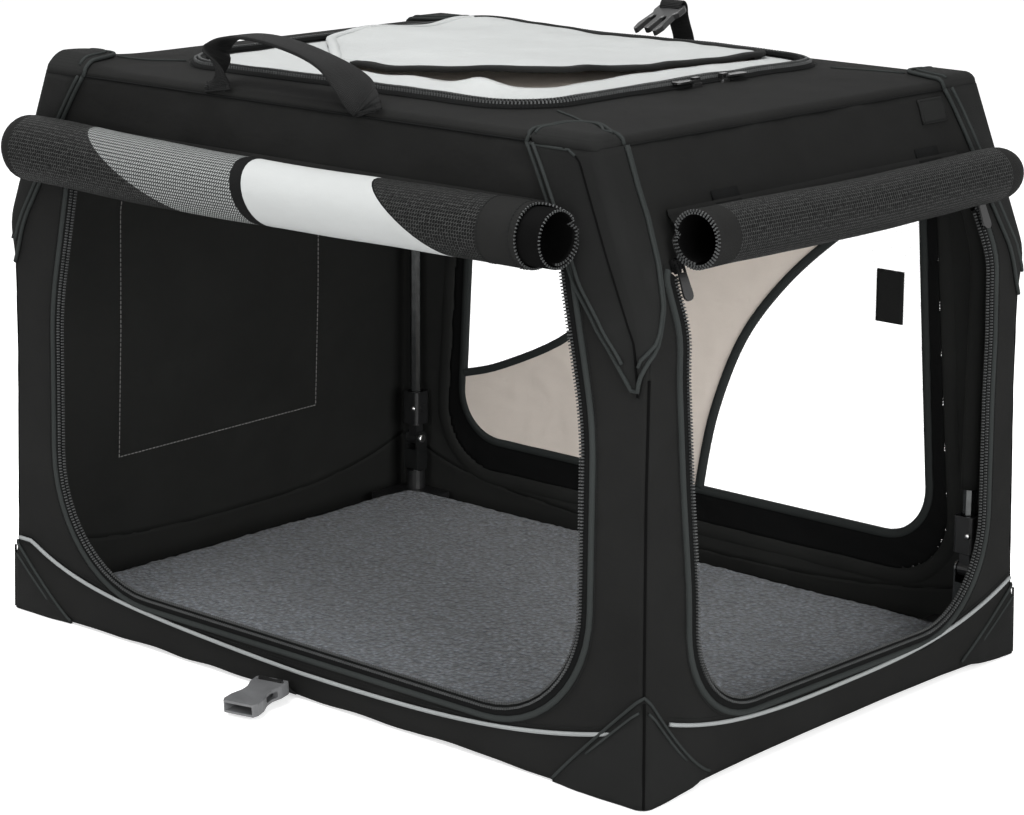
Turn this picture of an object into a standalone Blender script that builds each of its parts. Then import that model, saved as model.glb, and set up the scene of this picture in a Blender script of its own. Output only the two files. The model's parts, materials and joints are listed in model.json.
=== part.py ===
"""Portable pet kennel: a folding steel frame inside a zipped fabric cover.

Metres, +Z up. The origin is on the ground under the middle of the base.
The long doorway faces -Y, the short doorway faces +X.
"""
import math

import bmesh
import bpy
from mathutils import Matrix, Vector

# Cover
WIDTH = 0.760
DEPTH = 0.530
HEIGHT = 0.525
CLOTH = 0.0025
PATCH = 0.0015
GAP = 0.0003
KNEE_Z = 0.374
TOP_INSET_X = 0.056
TOP_INSET_Y = 0.006
KNEE_RADIUS = 0.05
WALL_TOP_Z = 0.516
CORNER_BAND_Z = 0.072

# Doorways, each rounded at its corners
DOOR_BOTTOM_Z = 0.054
DOOR_TOP_Z = 0.478
LONG_DOOR_HALF = 0.318
LONG_DOOR_TOP_HALF = 0.284
SHORT_DOOR_HALF = 0.213
SHORT_DOOR_TOP_HALF = 0.204
DOOR_RADIUS = 0.06
DOOR_TOP_RADIUS = 0.04

# Roof hatch
HATCH_X = -0.005
HATCH_HALF_X = 0.215
HATCH_HALF_Y = 0.205
HATCH_RADIUS = 0.06

# Steel frame
TUBE_R = 0.006
RAIL_X = 0.354
RAIL_Y = 0.244
RAIL_Z = 0.0125
FRONT_LEG_X = 0.361
REAR_LEG_X = 0.346
FRONT_PIVOT = Vector((0.0, -0.247, 0.136))
REAR_PIVOT = Vector((0.0, 0.245, 0.076))
HOOP_KNEE_Z = 0.372
HOOP_TOP_Z = 0.509
HOOP_INSET = 0.053

# Rolled doors
FRONT_ROLL_Z = 0.450
RIGHT_ROLL_Z = 0.4375
FRONT_ROLL_R = 0.028
RIGHT_ROLL_R = 0.0240
ROLL_CLOTH = 0.0042
ROLL_TURNS = 2.6

# Closing strap
BUCKLE_X = -0.018
REAR_BUCKLE_X = -0.006
PARTS_NAME = "portable_pet_kennel"

# Worked out from the driving dimensions
SIDE_X = WIDTH / 2 - PATCH - GAP
FRONT_Y = DEPTH / 2 - PATCH - GAP
ROOF_HALF_X = SIDE_X - TOP_INSET_X
ROOF_HALF_Y = FRONT_Y - TOP_INSET_Y + GAP
LEAN = math.atan(TOP_INSET_Y / WALL_TOP_Z)
SLANT = math.atan(TOP_INSET_X / (WALL_TOP_Z - KNEE_Z))


def start_scene():
    """Empty the scene and make the two collections."""
    for old in list(bpy.data.objects):
        bpy.data.objects.remove(old, do_unlink=True)
    made = []
    for name in (PARTS_NAME, "cutters"):
        collection = bpy.data.collections.new(name)
        bpy.context.scene.collection.children.link(collection)
        made.append(collection)
    return made


PARTS, CUTTERS = start_scene()


def material(name, colour, roughness, metallic=0.0):
    """One Principled material."""
    made = bpy.data.materials.new(name)
    made.use_nodes = True
    shader = made.node_tree.nodes["Principled BSDF"]
    shader.inputs["Base Color"].default_value = (*colour, 1.0)
    shader.inputs["Roughness"].default_value = roughness
    shader.inputs["Metallic"].default_value = metallic
    return made


def black_cloth(name):
    """Black woven polyester of the cover."""
    return material(name, (0.017, 0.018, 0.017), 0.85)


def black_plastic(name):
    """Moulded black plastic."""
    return material(name, (0.02, 0.021, 0.022), 0.45)


def bare_steel(name):
    """Bright rivet steel."""
    return material(name, (0.55, 0.55, 0.54), 0.3, 1.0)


def add(name, data, finish, collection=None):
    """Put a mesh or curve into the part's collection as a named object."""
    made = bpy.data.objects.new(name, data)
    (collection or PARTS).objects.link(made)
    if finish:
        data.materials.append(finish)
    return made


def shade(target, angle=35.0):
    """Smooth shading with sharp edges kept."""
    target.data.shade_smooth()
    target.data.set_sharp_from_angle(angle=math.radians(angle))


def round_corner(before, corner, after, radius, steps):
    """The arc that rounds one corner of an outline, in 2D or 3D."""
    towards_a = (before - corner).normalized()
    towards_b = (after - corner).normalized()
    half = towards_a.angle(towards_b) / 2
    reach = radius / math.tan(half)
    bisector = (towards_a + towards_b).normalized()
    centre = corner + bisector * (radius / math.sin(half))
    first = corner + towards_a * reach - centre
    last = corner + towards_b * reach - centre
    sweep = first.angle(last)
    arc = []
    for step in range(steps + 1):
        share = step / steps
        ahead = first * math.sin((1 - share) * sweep)
        arc.append(centre + (ahead + last * math.sin(share * sweep)) / math.sin(sweep))
    return arc


def rounded(points, radii, steps=5, closed=True):
    """An outline or path with its corners rounded; radius 0 keeps a corner."""
    points = [Vector(point) for point in points]
    count = len(points)
    smooth = []
    for index, (point, radius) in enumerate(zip(points, radii)):
        at_end = not closed and index in (0, count - 1)
        if radius <= 0 or at_end:
            smooth.append(point)
            continue
        after = points[(index + 1) % count]
        smooth.extend(round_corner(points[index - 1], point, after, radius, steps))
    return smooth


def smooth_path(points, steps=5):
    """Points along one smooth curve through the given points."""
    points = [Vector(point) for point in points]
    ends = [2 * points[0] - points[1], *points, 2 * points[-1] - points[-2]]
    path = []
    for index in range(1, len(ends) - 2):
        a, b, c, d = ends[index - 1:index + 3]
        for step in range(steps):
            t = step / steps
            bend = (2 * a - 5 * b + 4 * c - d) * t * t
            twist = (3 * b - a - 3 * c + d) * t * t * t
            path.append((2 * b + (c - a) * t + bend + twist) / 2)
    path.append(points[-1])
    return path


def poly_curve(name, splines, cyclic, dimensions):
    """Curve data with one POLY spline for each list of points."""
    curve = bpy.data.curves.new(name, "CURVE")
    curve.dimensions = dimensions
    for points in splines:
        spline = curve.splines.new("POLY")
        spline.points.add(len(points) - 1)
        for slot, point in zip(spline.points, points):
            slot.co = (*Vector(point).to_3d(), 1.0)
        spline.use_cyclic_u = cyclic
    return curve


def plate(name, outline, finish, thickness, holes=(), collection=None):
    """A flat outline with holes, in local XY, centred on its thickness."""
    curve = poly_curve(name, [outline, *holes], True, "2D")
    curve.fill_mode = "BOTH"
    curve.extrude = thickness / 2
    return add(name, curve, finish, collection)


def tube(name, path, radius, finish, resolution=2):
    """A round tube along a path, with filled ends."""
    curve = poly_curve(name, [path], False, "3D")
    curve.bevel_depth = radius
    curve.bevel_resolution = resolution
    curve.use_fill_caps = True
    return add(name, curve, finish)


def as_mesh(source, finish):
    """Replace a curve object by a welded mesh object of the same name."""
    bpy.context.view_layer.update()
    graph = bpy.context.evaluated_depsgraph_get()
    mesh = bpy.data.meshes.new_from_object(source.evaluated_get(graph))
    work = bmesh.new()
    work.from_mesh(mesh)
    bmesh.ops.remove_doubles(work, verts=work.verts, dist=0.00001)
    work.to_mesh(mesh)
    work.free()
    name = source.name
    place = source.matrix_world.copy()
    collection = source.users_collection[0]
    bpy.data.objects.remove(source, do_unlink=True)
    mesh.name = name
    mesh.materials.clear()
    made = add(name, mesh, finish, collection)
    made.matrix_world = place
    return made


def solid_plate(name, outline, finish, thickness, holes=(), collection=None):
    """A plate as a mesh, for cutting and joining."""
    return as_mesh(plate(name, outline, finish, thickness, holes, collection), finish)


def box(name, low, high, finish=None, collection=None):
    """A box between two corners."""
    mesh = bpy.data.meshes.new(name)
    work = bmesh.new()
    bmesh.ops.create_cube(work, size=1.0)
    size = Vector(high) - Vector(low)
    bmesh.ops.scale(work, vec=size, verts=work.verts)
    bmesh.ops.translate(work, vec=(Vector(high) + Vector(low)) / 2, verts=work.verts)
    work.to_mesh(mesh)
    work.free()
    return add(name, mesh, finish, collection)


def cylinder(name, start, end, radius, finish=None, collection=None, sides=16):
    """A cylinder between two points."""
    start = Vector(start)
    end = Vector(end)
    mesh = bpy.data.meshes.new(name)
    work = bmesh.new()
    bmesh.ops.create_cone(
        work, cap_ends=True, segments=sides, radius1=radius, radius2=radius,
        depth=(end - start).length)
    work.to_mesh(mesh)
    work.free()
    made = add(name, mesh, finish, collection)
    turn = (end - start).to_track_quat("Z", "Y").to_matrix().to_4x4()
    made.matrix_world = Matrix.Translation((start + end) / 2) @ turn
    return made


def boolean(target, tool, operation="DIFFERENCE"):
    """Cut or join with a tool object, which goes to the cutters."""
    for collection in list(tool.users_collection):
        collection.objects.unlink(tool)
    CUTTERS.objects.link(tool)
    tool.hide_render = True
    tool.display_type = "WIRE"
    modifier = target.modifiers.new(tool.name, "BOOLEAN")
    modifier.operation = operation
    modifier.object = tool
    modifier.solver = "EXACT"


def bevel(target, width, segments=2, angle=40.0):
    """Rounded edges."""
    modifier = target.modifiers.new("rounded_edges", "BEVEL")
    modifier.width = width
    modifier.segments = segments
    modifier.limit_method = "ANGLE"
    modifier.angle_limit = math.radians(angle)


def hang_on(child, parent):
    """Parent an object and keep its place."""
    bpy.context.view_layer.update()
    place = child.matrix_world.copy()
    child.parent = parent
    child.matrix_parent_inverse = parent.matrix_world.inverted()
    child.matrix_world = place


def axis_empty(name, location):
    """An empty on a joint's axis, for the pieces that turn about it."""
    made = bpy.data.objects.new(name, None)
    made.location = location
    made.empty_display_size = 0.02
    PARTS.objects.link(made)
    return made


def sheet(name, columns, rows, place, finish, thickness):
    """A cloth sheet: a grid laid by place(u, v), thickened inward."""
    mesh = bpy.data.meshes.new(name)
    work = bmesh.new()
    bmesh.ops.create_grid(work, x_segments=columns, y_segments=rows, size=1.0)
    for vert in work.verts:
        vert.co = place((vert.co.x + 1) / 2, (vert.co.y + 1) / 2)
    bmesh.ops.recalc_face_normals(work, faces=work.faces)
    work.to_mesh(mesh)
    work.free()
    made = add(name, mesh, finish)
    modifier = made.modifiers.new("cloth", "SOLIDIFY")
    modifier.thickness = thickness
    modifier.offset = -1.0
    modifier.use_even_offset = True
    return made


def side_profile():
    """The outer (x, z) line of an end wall, from the ground to its top."""
    corners = [(SIDE_X, 0.0), (SIDE_X, KNEE_Z), (ROOF_HALF_X, WALL_TOP_Z)]
    return rounded(corners, (0, KNEE_RADIUS, 0), steps=4, closed=False)


def profile_x(height):
    """Half the cover's width at a height."""
    profile = side_profile()
    for low, high in zip(profile, profile[1:]):
        if height <= high.y:
            share = (height - low.y) / (high.y - low.y)
            return low.x + (high.x - low.x) * share
    return profile[-1].x


def long_piping_z(x):
    """Height of the piped seam on the long sides: low in the middle."""
    return 0.025 + 0.045 * (abs(x) / SIDE_X) ** 2.2


def short_piping_z(y):
    """Height of the piped seam on the short sides."""
    return 0.034 + 0.034 * (abs(y) / FRONT_Y) ** 3


def hem_z(share):
    """Bottom hem: on the ground at the corners and lifted in the middle."""
    return 0.0004 + 0.0076 * (1 - abs(share) ** 4)


def doorway(half, top_half, grow=0.0):
    """A doorway's rounded outline, across and up."""
    corners = [
        (-half - grow, DOOR_BOTTOM_Z - grow), (half + grow, DOOR_BOTTOM_Z - grow),
        (top_half + grow, DOOR_TOP_Z + grow), (-top_half - grow, DOOR_TOP_Z + grow)]
    radii = (DOOR_RADIUS, DOOR_RADIUS, DOOR_TOP_RADIUS, DOOR_TOP_RADIUS)
    return rounded(corners, [radius + grow for radius in radii], steps=6)


def even_steps(low, high, count):
    """Evenly spaced values, both ends included."""
    return [low + (high - low) * step / count for step in range(count + 1)]


def stand_up(target, side):
    """Stand a plate in the leaning plane of a long wall; side is -1 or 1."""
    turn = Matrix.Rotation(math.pi / 2 + side * LEAN, 4, "X")
    inset = FRONT_Y - CLOTH / 2
    target.matrix_world = Matrix.Translation((0, side * inset, 0)) @ turn


# Steel frame

def base_rails(finish):
    """Four straight tubes of the base rectangle."""
    reach_x = RAIL_X - 0.0225
    reach_y = RAIL_Y - 0.0225
    for side, word in ((-1, "front"), (1, "rear")):
        y = side * RAIL_Y
        rail = cylinder(f"base_rail_{word}", (-reach_x, y, RAIL_Z), (reach_x, y, RAIL_Z),
                        TUBE_R, finish)
        shade(rail)
    for side, word in ((-1, "left"), (1, "right")):
        x = side * RAIL_X
        rail = cylinder(f"base_rail_{word}", (x, -reach_y, RAIL_Z), (x, reach_y, RAIL_Z),
                        TUBE_R, finish)
        shade(rail)


def corner_connector(word, side_x, side_y, leg, finish):
    """Moulded corner: two rail sockets and an upright boss for the bracket."""
    low_z, high_z, boss_top = 0.0033, 0.0215, 0.0410
    out, arm = 0.0115, 0.048
    shape = [(out, out), (-arm, out), (-arm, -out), (-out, -out), (-out, -arm), (out, -arm)]
    corners = [(side_x * (RAIL_X + a), side_y * (RAIL_Y + b)) for a, b in shape]
    outline = rounded(corners, (0.008, 0.003, 0.003, 0.005, 0.003, 0.003), steps=3)
    block = solid_plate(f"corner_connector_{word}", outline, finish, high_z - low_z)
    block.location.z = (low_z + high_z) / 2
    bevel(block, 0.0012)
    boss = cylinder(f"boss_{word}", (leg.x, leg.y, 0.008), (leg.x, leg.y, boss_top), 0.0098)
    boolean(block, boss, "UNION")
    bore = TUBE_R + GAP
    inner_x, inner_y = RAIL_X - 0.0222, RAIL_Y - 0.0222
    outer = 0.060
    boolean(block, cylinder(
        f"socket_x_{word}", (side_x * inner_x, side_y * RAIL_Y, RAIL_Z),
        (side_x * (inner_x - outer), side_y * RAIL_Y, RAIL_Z), bore))
    boolean(block, cylinder(
        f"socket_y_{word}", (side_x * RAIL_X, side_y * inner_y, RAIL_Z),
        (side_x * RAIL_X, side_y * (inner_y - outer), RAIL_Z), bore))
    boolean(block, cylinder(
        f"socket_z_{word}", (leg.x, leg.y, 0.024), (leg.x, leg.y, boss_top + 0.01), bore))


def hinge_bracket(word, pivot, finish):
    """Upright stem with two ears that hold the hoop's foot."""
    half, web = 0.008, 0.012
    lift = 0.034
    ears = rounded(
        [(-half, -lift), (half, -lift), (half, half), (-half, half)],
        (0.002, 0.002, half * 0.98, half * 0.98), steps=5)
    hole = [Vector((math.cos(turn), math.sin(turn))) * 0.0028
            for turn in even_steps(0, math.tau, 12)[:-1]]
    bracket = solid_plate(f"hinge_bracket_{word}", ears, finish, 0.0176, [hole])
    across = Matrix.Rotation(math.pi / 2, 4, "Z") @ Matrix.Rotation(math.pi / 2, 4, "X")
    bracket.matrix_world = Matrix.Translation(pivot) @ across
    slot = 0.0070
    boolean(bracket, box(
        f"ear_slot_{word}", pivot - Vector((slot, 0.02, web)),
        pivot + Vector((slot, 0.02, 0.02))))
    stem_top = pivot.z - lift + 0.004
    boolean(bracket, cylinder(
        f"stem_{word}", (pivot.x, pivot.y, 0.0245), (pivot.x, pivot.y, stem_top), TUBE_R),
        "UNION")


def hinge_pin(word, pivot, finish):
    """Rivet through the ears: a turned shank with a head at each end."""
    shank, head, inner, outer = 0.0025, 0.0045, 0.0091, 0.0106
    line = [(0, outer), (head * 0.8, outer), (head, outer - 0.0006), (head, inner),
            (shank, inner), (shank, -inner), (head, -inner), (head, 0.0006 - outer),
            (head * 0.8, -outer), (0, -outer)]
    mesh = bpy.data.meshes.new(f"hinge_pin_{word}")
    mesh.from_pydata([(r, 0, z) for r, z in line],
                     [(n, n + 1) for n in range(len(line) - 1)], [])
    pin = add(f"hinge_pin_{word}", mesh, finish)
    screw = pin.modifiers.new("turned", "SCREW")
    screw.steps = 12
    screw.render_steps = 12
    screw.use_merge_vertices = True
    screw.merge_threshold = 0.00005
    pin.matrix_world = Matrix.Translation(pivot) @ Matrix.Rotation(math.pi / 2, 4, "Y")


def hoop(name, leg_x, pivot, finish):
    """One bent tube: two legs, two shoulders and a top rail."""
    foot = pivot.z + 0.0180
    top_x = leg_x - HOOP_INSET
    corners = [(-leg_x, 0, foot), (-leg_x, 0, HOOP_KNEE_Z), (-top_x, 0, HOOP_TOP_Z),
               (top_x, 0, HOOP_TOP_Z), (leg_x, 0, HOOP_KNEE_Z), (leg_x, 0, foot)]
    path = rounded(corners, (0, 0.05, 0.04, 0.04, 0.05, 0), steps=6, closed=False)
    path = [point - Vector((0, 0, pivot.z)) for point in path]
    made = tube(name, path, TUBE_R, finish)
    made.location = (0, pivot.y, pivot.z)
    return made


def hoop_foot(word, pivot, finish):
    """Plastic foot of a leg: an eye on the pin, a neck and a tube collar."""
    start, end = Vector((-0.0066, 0, 0)), Vector((0.0066, 0, 0))
    foot = cylinder(f"hoop_foot_{word}", pivot + start, pivot + end, 0.0068, finish)
    boolean(foot, box(
        f"neck_{word}", pivot + Vector((-0.0055, -0.005, 0.001)),
        pivot + Vector((0.0055, 0.005, 0.0160))), "UNION")
    boolean(foot, cylinder(
        f"collar_{word}", pivot + Vector((0, 0, 0.0145)), pivot + Vector((0, 0, 0.034)),
        0.0078), "UNION")
    boolean(foot, cylinder(
        f"tube_seat_{word}", pivot + Vector((0, 0, 0.0177)), pivot + Vector((0, 0, 0.05)),
        TUBE_R + GAP))
    boolean(foot, cylinder(
        f"pin_bore_{word}", pivot - Vector((0.02, 0, 0)), pivot + Vector((0.02, 0, 0)),
        0.0028, sides=12))
    return foot


def lock_sleeve(word, side_x, pivot, finish):
    """Sliding collar with a thumb button on its inner side."""
    half_x, half_y, low, high = 0.0105, 0.0100, 0.0162, 0.0510
    corners = [(-half_x, -half_y), (half_x, -half_y), (half_x, half_y), (-half_x, half_y)]
    sleeve = solid_plate(
        f"lock_sleeve_{word}", rounded(corners, (0.004,) * 4, steps=4), finish, high - low)
    centre = pivot + Vector((0, 0, (low + high) / 2))
    sleeve.location = centre
    bevel(sleeve, 0.0010)
    inward = Vector((-side_x, 0, 0))
    boolean(sleeve, cylinder(
        f"button_{word}", centre + inward * 0.0085, centre + inward * 0.0125, 0.0042),
        "UNION")
    boolean(sleeve, cylinder(
        f"sleeve_bore_{word}", centre - Vector((0, 0, 0.03)), centre + Vector((0, 0, 0.03)),
        0.0083))
    return sleeve


def steel_frame():
    """Base rectangle, four hinged corners and the two folding hoops."""
    steel = material("dark_coated_steel", (0.035, 0.036, 0.038), 0.3, 0.8)
    plastic = black_plastic("frame_plastic")
    rivet = bare_steel("rivet_steel")
    base_rails(steel)
    ends = (("front", -1, FRONT_PIVOT, FRONT_LEG_X), ("rear", 1, REAR_PIVOT, REAR_LEG_X))
    for end, side_y, axis, leg_x in ends:
        empty = axis_empty(f"{end}_hoop_axis", axis)
        hang_on(hoop(f"{end}_hoop", leg_x, axis, steel), empty)
        for hand, side_x in (("left", -1), ("right", 1)):
            word = f"{end}_{hand}"
            pivot = Vector((side_x * leg_x, axis.y, axis.z))
            corner_connector(word, side_x, side_y, pivot, plastic)
            hinge_bracket(word, pivot, steel)
            hinge_pin(word, pivot, rivet)
            hang_on(hoop_foot(word, pivot, plastic), empty)
            hang_on(lock_sleeve(word, side_x, pivot, plastic), empty)


# Floor and mat

def floor_panel():
    """Stiff base board in its fabric."""
    half_x, half_y, thick = 0.366, 0.251, 0.0030
    corners = [(-half_x, -half_y), (half_x, -half_y), (half_x, half_y), (-half_x, half_y)]
    panel = plate("floor_panel", rounded(corners, (0.02,) * 4),
                  black_cloth("floor_cloth"), thick)
    panel.location.z = thick / 2


def fleece_mat():
    """Loose fleece mat: crowned, with drawn-in sides and round corners."""
    half_x, half_y, low, high = 0.344, 0.233, 0.0036, 0.0300
    mesh = bpy.data.meshes.new("fleece_mat")
    work = bmesh.new()
    bmesh.ops.create_cube(work, size=2.0)
    bmesh.ops.subdivide_edges(work, edges=work.edges, cuts=9, use_grid_fill=True)
    for vert in work.verts:
        x, y, z = vert.co
        edge = max(abs(x), abs(y))
        corner = 1.0 - 0.045 * max(0.0, (abs(x * y) - 0.55) / 0.45)
        pinch = 1.0 - 0.020 * abs(z) ** 3 * (edge ** 12)
        crown = 1.0 - 0.32 * edge ** 8
        sag = 0.0007 * math.sin(9.0 * x + 1.0) * math.cos(7.0 * y) * (1 - edge ** 6)
        middle = low + (high - low) * 0.42
        reach = (high - middle) if z > 0 else (middle - low)
        vert.co = Vector((x * half_x * corner * pinch, y * half_y * corner * pinch,
                          middle + z * reach * (crown if z > 0 else 1.0) + (sag if z > 0 else 0)))
        work.to_mesh(mesh)
    work.free()
    mat = add("fleece_mat", mesh, material("grey_fleece", (0.10, 0.11, 0.13), 0.95))
    shade(mat, 60)


# Fabric cover

def long_wall(word, side, finish):
    """Front or rear wall with its doorway, above the piped seam."""
    low = [(x, long_piping_z(x)) for x in even_steps(-SIDE_X, SIDE_X, 16)]
    right = [(point.x, point.y) for point in side_profile()[1:]]
    left = [(-x, z) for x, z in reversed(right)]
    hole = doorway(LONG_DOOR_HALF, LONG_DOOR_TOP_HALF)
    wall = plate(f"wall_{word}", low + right + left, finish, CLOTH, [hole])
    stand_up(wall, side)


def long_skirt(word, side, finish):
    """Band below the piped seam of a long side."""
    steps = even_steps(-1.0, 1.0, 16)
    low = [(share * SIDE_X, hem_z(share)) for share in steps]
    high = [(share * SIDE_X, long_piping_z(share * SIDE_X) - GAP) for share in reversed(steps)]
    skirt = plate(f"skirt_{word}", low + high, finish, CLOTH)
    stand_up(skirt, side)


def end_depth(height):
    """Half the depth of an end wall at a height, inside the long walls."""
    return FRONT_Y - CLOTH - 2 * GAP - math.tan(LEAN) * height


def end_wall(word, side, finish, door):
    """Bent end wall: upright to the knee, then leaning in to the roof."""
    profile = side_profile()[1:]

    def place(u, v):
        row = round(v * (len(profile) + 3))
        span = 2 * u - 1
        if row <= 3:
            start_z = short_piping_z(span * FRONT_Y)
            z = start_z + (profile[0].y - start_z) * row / 4
            x = SIDE_X
        else:
            x, z = profile[row - 4]
        return Vector((side * x, span * end_depth(z), z))

    wall = sheet(f"wall_{word}", 16, len(profile) + 3, place, finish, CLOTH)
    turn_outward(wall, Vector((side, 0, 0)))
    if door:
        outline = doorway(SHORT_DOOR_HALF, SHORT_DOOR_TOP_HALF)
        cutter = solid_plate(f"doorway_{word}", outline, None, 0.16)
        across = Matrix.Rotation(math.pi / 2, 4, "Z") @ Matrix.Rotation(math.pi / 2, 4, "X")
        cutter.matrix_world = Matrix.Translation((side * 0.35, 0, 0)) @ across
        boolean(wall, cutter)


def turn_outward(target, outward):
    """Make a sheet's faces look outward, so it thickens inward."""
    mesh = target.data
    total = Vector((0, 0, 0))
    for face in mesh.polygons:
        total += face.normal * face.area
    if total.dot(outward) < 0:
        mesh.flip_normals()


def end_skirt(word, side, finish):
    """Band below the piped seam of a short side."""
    half = end_depth(0.05)
    steps = even_steps(-1.0, 1.0, 14)
    low = [(share * half, hem_z(share)) for share in steps]
    high = [(share * half, short_piping_z(share * half) - GAP) for share in reversed(steps)]
    skirt = plate(f"skirt_{word}", low + high, finish, CLOTH)
    across = Matrix.Rotation(math.pi / 2, 4, "Z") @ Matrix.Rotation(math.pi / 2, 4, "X")
    skirt.matrix_world = Matrix.Translation((side * (SIDE_X - CLOTH / 2), 0, 0)) @ across


def corner_patch(word, side_x, side_y, finish):
    """Padded triangle of stronger cloth round a bottom corner."""
    leg, top = 0.095, 0.090
    out_x, out_y = WIDTH / 2, DEPTH / 2

    def place(u, v):
        along = (2 * u - 1) * leg
        height = 0.004 + (top - 0.004) * (1 - abs(along) / leg) ** 0.9
        x = out_x - max(0.0, -along)
        y = out_y - max(0.0, along)
        return Vector((side_x * x, side_y * y, v * height))

    patch = sheet(f"corner_patch_{word}", 12, 4, place, finish, PATCH)
    turn_outward(patch, Vector((side_x, side_y, 0)))


def roof_z(x, y):
    """Outer height of the roof: rolled edges and a low crown."""
    edge = 0.014
    inside = max(0.0, min(ROOF_HALF_X - abs(x), ROOF_HALF_Y - abs(y), edge))
    roll = 0.0045 * (1 - (1 - inside / edge) ** 2)
    crown = 0.0065 * (1 - abs(x / ROOF_HALF_X) ** 3) * (1 - abs(y / ROOF_HALF_Y) ** 3)
    return HEIGHT - 0.0065 + roll + crown


def edge_lines(half, middle):
    """Grid lines across the roof, close together at its rolled edges."""
    edge = [half, half - 0.003, half - 0.008, half - 0.014]
    inner = even_steps(-(half - 0.014), half - 0.014, middle)[1:-1]
    return [-value for value in edge] + inner + edge[::-1]


def roof_sheet(name, finish, ripple=0.0):
    """The roof's whole cloth, before the hatch is parted from it."""
    lines_x = edge_lines(ROOF_HALF_X, 14)
    lines_y = edge_lines(ROOF_HALF_Y, 12)

    def place(u, v):
        x = lines_x[round(u * (len(lines_x) - 1))]
        y = lines_y[round(v * (len(lines_y) - 1))]
        wave = ripple * math.sin(34.0 * x + 3.0) * math.sin(21.0 * y + 1.0)
        return Vector((x, y, roof_z(x, y) + wave))

    made = sheet(name, len(lines_x) - 1, len(lines_y) - 1, place, finish, CLOTH)
    turn_outward(made, Vector((0, 0, 1)))
    return made


def hatch_prism(name, shrink):
    """Upright cutter with the hatch's outline."""
    half_x, half_y = HATCH_HALF_X - shrink, HATCH_HALF_Y - shrink
    corners = [(HATCH_X - half_x, -half_y), (HATCH_X + half_x, -half_y),
               (HATCH_X + half_x, half_y), (HATCH_X - half_x, half_y)]
    outline = rounded(corners, (HATCH_RADIUS - shrink,) * 4, steps=6)
    prism = solid_plate(name, outline, None, 0.06)
    prism.location.z = HEIGHT - 0.003
    return prism


def roof(axis):
    """Roof cloth with a zipped, slightly loose pale hatch."""
    cloth = roof_sheet("roof", black_cloth("roof_cloth"))
    boolean(cloth, hatch_prism("hatch_hole", 0.0))
    pale = material("pale_grey_cloth", (0.62, 0.63, 0.63), 0.8)
    hatch = roof_sheet("roof_hatch", pale, ripple=0.0012)
    boolean(hatch, hatch_prism("hatch_edge", 2 * GAP), "INTERSECT")
    hang_on(cloth, axis)
    hang_on(hatch, axis)


def rear_door(finish):
    """Closed mesh door, zipped into the rear doorway."""
    outline = doorway(LONG_DOOR_HALF, LONG_DOOR_TOP_HALF, grow=-2 * GAP)
    door = plate("rear_door", outline, finish, CLOTH)
    stand_up(door, 1)


def outside_pocket(finish):
    """Flat pocket sewn outside the closed end wall."""
    corners = [(-0.125, 0.125), (0.125, 0.125), (0.125, 0.318), (-0.125, 0.318)]
    pocket = plate("outside_pocket", rounded(corners, (0.012, 0.012, 0.004, 0.004), steps=3),
                   finish, 0.005)
    across = Matrix.Rotation(math.pi / 2, 4, "Z") @ Matrix.Rotation(math.pi / 2, 4, "X")
    pocket.matrix_world = Matrix.Translation((-SIDE_X - GAP - 0.0025, 0, 0)) @ across


def scroll(outer, tail):
    """Outline of a door hanging from its tail and rolled up in a spiral."""
    steps = 18
    inner = 0.0108
    total = int(ROLL_TURNS * steps)
    outside = []
    inside = []
    for step in range(total + 1):
        turn = -math.tau * step / steps
        reach = outer - (outer - inner) * step / total
        way = Vector((math.cos(turn), math.sin(turn)))
        outside.append(way * reach)
        inside.append(way * (reach - ROLL_CLOTH))
    return [*tail, *outside, *reversed(inside)]


def front_roll(finish):
    """The long doorway's door, rolled up over it."""
    start_x, end_x = -0.350, 0.308
    radius = FRONT_ROLL_R
    centre_y = -(FRONT_Y - 0.0050) - radius - 0.0010
    reach = radius - ROLL_CLOTH
    tail = [Vector((reach, 0.030)), Vector((radius, 0.030))]
    outline = scroll(radius, tail)
    roll = plate("front_door_roll", outline, finish, end_x - start_x)
    stand = Matrix.Rotation(math.pi / 2, 4, "Z") @ Matrix.Rotation(math.pi / 2, 4, "X")
    roll.matrix_world = Matrix.Translation(((start_x + end_x) / 2, centre_y, FRONT_ROLL_Z)) @ stand


def right_roll(finish):
    """The short doorway's door, rolled up over it."""
    start_y, end_y = -0.213, 0.228
    radius = RIGHT_ROLL_R
    off_wall = radius + 0.0080
    reach = radius - ROLL_CLOTH
    tail = [Vector((reach, 0.009)), Vector((off_wall - ROLL_CLOTH, 0.041)),
            Vector((off_wall, 0.041)), Vector((radius, 0.008))]
    roll = plate("right_door_roll", scroll(radius, tail), finish, end_y - start_y)
    outward = Vector((math.cos(SLANT), 0, math.sin(SLANT)))
    uphill = Vector((-math.sin(SLANT), 0, math.cos(SLANT)))
    frame = Matrix((-outward, uphill, Vector((0, 1, 0)))).transposed().to_4x4()
    base = Vector((profile_x(RIGHT_ROLL_Z), (start_y + end_y) / 2, RIGHT_ROLL_Z))
    roll.matrix_world = Matrix.Translation(base + outward * (off_wall + 0.0008)) @ frame


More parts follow.
